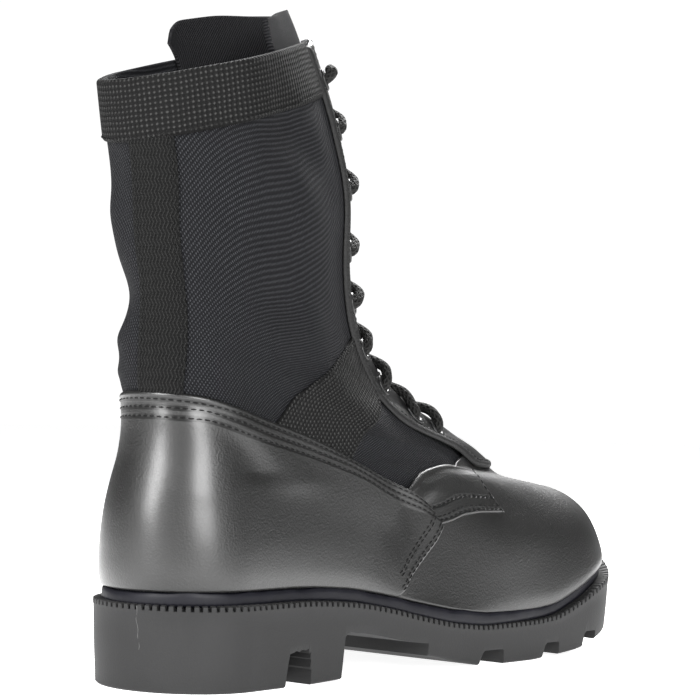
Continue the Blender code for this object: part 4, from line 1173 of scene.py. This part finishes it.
def beside(w, d, steps=10):
    """Girth and level of the places a distance d square to the front centre line, from its level w.
    A minus distance is on the inner side."""
    w, d = np.broadcast_arrays(np.asarray(w, float), np.asarray(d, float))
    u, v = np.zeros(w.shape), w.copy()
    run = on_table(FACE, u, np.clip(w + 0.006, 0, 1)) - on_table(FACE, u, np.clip(w - 0.006, 0, 1))
    step = 0.004
    for _ in range(steps):
        low, high = np.clip(v - step, 0, 1), np.clip(v + step, 0, 1)
        along_u = (on_table(FACE, u + step, v) - on_table(FACE, u - step, v)) / (2 * step)
        along_v = (on_table(FACE, u, high) - on_table(FACE, u, low)) / (high - low)[..., None]
        across = np.cross(np.cross(along_v, along_u), run)
        across /= np.linalg.norm(across, axis=-1, keepdims=True)
        across *= np.sign((across * along_u).sum(-1) * np.where(d < 0, -1, 1))[..., None]
        move = across * (np.abs(d) / steps)[..., None]
        a, b, c = (along_u**2).sum(-1), (along_u * along_v).sum(-1), (along_v**2).sum(-1)
        e, f = (move * along_u).sum(-1), (move * along_v).sum(-1)
        u = u + (e * c - f * b) / (a * c - b * b)
        v = np.clip(v + (a * f - b * e) / (a * c - b * b), 0, 1)
    return u, v


facing_runs = []
table = np.array(FACING)
w = table[0, 0] + (1.0 - table[0, 0]) * stops(0.20, LEATHER, 0.0012)
outer_d = curve_through(table[:, 0], table[:, 1], w)[:, 0]
inner_d = np.maximum(throat_gap(w), TIP_INSET) + 0.0006
t = stops(0.024, LEATHER, 0.0008)
for side, word in ((0, "outer"), (1, "inner")):
    inner_u = girth_share(w, inner_d, side)
    outer_u, outer_v = beside(w, outer_d if side == 0 else -outer_d)
    u = inner_u[:, None] * (1 - t) + np.abs(outer_u)[:, None] * t
    v = w[:, None] * (1 - t) + outer_v[:, None] * t
    from_edge = distances(on_face(u, v), 1)
    from_edge = from_edge[:, -1:] - from_edge
    bead = np.sqrt(np.clip(1 - (from_edge / RIM_BEAD * 2 - 1) ** 2, 0, 1)) * 0.0007
    lift = CLEAR + LEATHER * (1 - smooth((v - 0.33) / 0.05))
    u = u if side == 0 else 1 - u
    facing = Laid("facing_leather_" + word, u, v, facing_leather, lift, LEATHER, extra=bead)
    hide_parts("facing_" + word)
    facing_runs += [facing.seam("right", RIM_BEAD + 0.0003, 0.01), facing.seam("left", 0.0022, 0.30)]
facing_thread = stitch_rows("facing_stitches", facing_runs, pitch=0.0030, length=0.0022)

# Eyelets: nine pairs of small enamelled rings, clinched through the facings.
# level on the front centre line, and distance beside it
EYELETS = (
    (0.447, 0.0225), (0.492, 0.0250), (0.550, 0.0215), (0.602, 0.0205), (0.664, 0.0200), (0.732, 0.0200),
    (0.815, 0.0205), (0.893, 0.0205), (0.955, 0.0200),
)
enamel = Finish("enamel")
enamel.shade(base_color=enamel.mix(enamel.noise(0.001), (0.008, 0.008, 0.008), (0.018, 0.018, 0.018)),
             roughness=0.28 + 0.2 * enamel.noise(0.002), metallic=0.2)
bpy.ops.object.select_all(action="DESELECT")
bpy.ops.mesh.primitive_torus_add(major_radius=0.0038, minor_radius=0.0012,
                                 major_segments=28, minor_segments=10)
ring_model = bpy.context.object
bpy.ops.object.mode_set(mode="EDIT")
bpy.ops.mesh.select_all(action="SELECT")
bpy.ops.transform.resize(value=(1.0, 1.0, 0.62))
bpy.ops.object.mode_set(mode="OBJECT")
for number, (w, d) in enumerate(EYELETS, 1):
    for sign, word in ((1, "outer"), (-1, "inner")):
        share, v = beside(w, sign * d)
        foot_point = on_face(share, v, CLEAR + LEATHER + 0.0002)
        up = Vector(normal_at(share, v))
        turn = up.to_track_quat("Z", "Y").to_matrix().to_4x4()
        mesh = ring_model.data.copy()
        mesh.transform(Matrix.Translation(Vector(foot_point)) @ turn)
        ring = bpy.data.objects.new(f"ring_{word}_{number}", mesh)
        bpy.context.scene.collection.objects.link(ring)
        mesh.shade_smooth()
        paint(ring, enamel)
        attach(ring, "root")
        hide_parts(f"eyelet_{word}_{number}")
bpy.data.objects.remove(ring_model)

# Tongue: dark twill, hemmed at its top, inside the throat. It stands above the collar.
TONGUE_WIDTH = 0.0570
TONGUE_WALL = 0.0024
TONGUE_ABOVE = 0.0160
# how far its top stands above the collar, as a share of TONGUE_ABOVE, from its outer to its inner edge
TONGUE_TOP = ((-1.0, 0.90), (-0.6, 0.88), (-0.25, 0.88), (0.0, 0.78), (0.25, 0.86), (0.6, 1.0), (0.8, 1.0),
              (0.92, 0.82), (1.0, 0.45))
twill = Finish("tongue_twill")
across, along = twill.cloth()
rib = (across + along * 0.8).wave(0.0012)
twill.shade(
    base_color=twill.mix(rib.step(-0.5, 0.9), (0.003, 0.003, 0.004), (0.012, 0.012, 0.013)),
    roughness=0.9,
    specular_ior_level=0.2,
    normal=twill.bump(rib, 0.00016),
)
tongue_levels = np.concatenate([[THROAT + 0.012], np.linspace(THROAT + 0.02, 1.0, 70)])
side_steps = 81
across = np.linspace(-1, 1, side_steps)
out = -(UPPER_WALL + CLEAR * 3)
grids = []
for shift in (out, out - TONGUE_WALL):
    rows_here = []
    for v in tongue_levels:
        reach = TONGUE_WIDTH * (0.30 + 0.70 * float(smooth((v - THROAT) / (1 - THROAT))))
        u = np.where(across < 0, girth_share(v, reach * -across, 0), 1 - girth_share(v, reach * across, 1))
        rows_here.append(on_face(u % 1.0, np.full(side_steps, v), shift))
    up = rows_here[-1] - rows_here[-6]
    up = up.mean(axis=0) / np.linalg.norm(up.mean(axis=0))
    droop = curve_through(*np.array(TONGUE_TOP).T, across)[:, 0]
    for share in np.linspace(0, 1, 16)[1:]:
        curl = 0.0025 * share**2 * np.sin(across * 5.0 + 0.6)
        top = rows_here[len(tongue_levels) - 1] + up * (TONGUE_ABOVE * share * droop)[:, None]
        top[:, 0] += curl
        rows_here.append(top)
    grids.append(np.stack(rows_here))
rows, columns = grids[0].shape[:2]
count = rows * columns
index = np.arange(count).reshape(rows, columns)
quads = quads_of(index)
faces = quads.tolist() + (quads[:, ::-1] + count).tolist()
border = [*index[0, :], *index[1:, -1], *index[-1, -2::-1], *index[-2:0:-1, 0]]
for a, b in zip(border, border[1:] + border[:1]):
    faces.append([int(a), int(b), int(b) + count, int(a) + count])
uv = np.concatenate([metres(grids[0], side_steps // 2).reshape(-1, 2)] * 2)
verts = np.concatenate([grid.reshape(-1, 3) for grid in grids])
tongue = mesh_piece("tongue_cloth", verts, faces, twill, uv=uv)
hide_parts("tongue")

# Lace: round black braid. From the bar under the throat it comes up through each eyelet, crosses the throat
# and goes under the other facing to the next, and its ends stop at the top pair.
LACE = 0.0046
braid = Finish("lace_braid")
around, along = braid.cloth()
strands = ((around + along * 0.7).wave(0.0022)).max((around - along * 0.7).wave(0.0022))
braid.shade(
    base_color=braid.mix(strands.step(-0.2, 1.0), (0.002, 0.002, 0.002), (0.010, 0.010, 0.0095)),
    roughness=0.72,
    specular_ior_level=0.25,
    normal=braid.bump(strands, 0.00028),
)
FACE_OF_FACING = CLEAR + LEATHER


def lace_run(start):
    """Points that one half of the lace passes, pair by pair: level on the front centre line, distance beside
    it and height over the face."""
    run = []
    for k, (w, d) in enumerate(EYELETS):
        here = d * (-1) ** (start + k)
        # up through the eyelet
        run += [(w, here, -0.0022), (w, here, FACE_OF_FACING + 0.0006)]
        if k == len(EYELETS) - 1:
            run.append((w + 0.004, here * 0.90, FACE_OF_FACING + 0.0042))
            run.append((w + 0.006, here * 0.70, FACE_OF_FACING + 0.0040))
            break
        w_next, d_next = EYELETS[k + 1]
        there = d_next * (-1) ** (start + k + 1)
        side = 1 if here > 0 else -1
        # over this facing, down through the throat and under the other facing
        high = FACE_OF_FACING + 0.0021 + 0.0006 * (start == 0)
        crossing = ((0.84 * here, high), (0.0125 * side, high), (0.0, 0.5 * high - 0.0010),
                    (-0.0115 * side, -0.0026), (0.80 * there, -0.0042))
        for place, out in crossing:
            share = (place - here) / (there - here)
            run.append((w + (w_next - w) * share, place, out))
    return np.array(run)


def through(points, spacing):
    """Smooth line through points, evenly spaced."""
    points = np.asarray(points, float)
    padded = np.vstack([2 * points[0] - points[1], points, 2 * points[-1] - points[-2]])
    fine = []
    for k in range(len(points) - 1):
        p = padded[k:k + 4]
        for t in np.linspace(0, 1, 12, endpoint=False):
            w = np.array(cubic_weights(np.array(t)))
            fine.append((p * w[:, None]).sum(axis=0))
    fine.append(points[-1])
    fine = np.array(fine)
    arc = np.concatenate([[0.0], np.cumsum(np.linalg.norm(np.diff(fine, axis=0), axis=1))])
    at = np.linspace(0, arc[-1], int(arc[-1] / spacing))
    return np.stack([np.interp(at, arc, fine[:, a]) for a in range(3)], axis=1)


w, d = EYELETS[0]
BAR = ((1.0, FACE_OF_FACING + 0.0004), (1.0, -0.0030), (0.6, -0.0050))  # shares of d, and heights
bar = [(w, side * d * share, out) for side in (1, -1) for share, out in BAR[::side]]
runs = [lace_run(0), lace_run(1), np.array(bar)]
for number, run in enumerate(runs):
    u, v = beside(run[:, 0], run[:, 1])
    points = on_face(u % 1.0, v, run[:, 2])
    verts, faces, uv = tube(through(points, 0.0012), LACE / 2, 14)
    piece = mesh_piece(f"lace_{('left', 'right', 'bar')[number]}", verts, faces, braid, uv=uv)
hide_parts("lace")
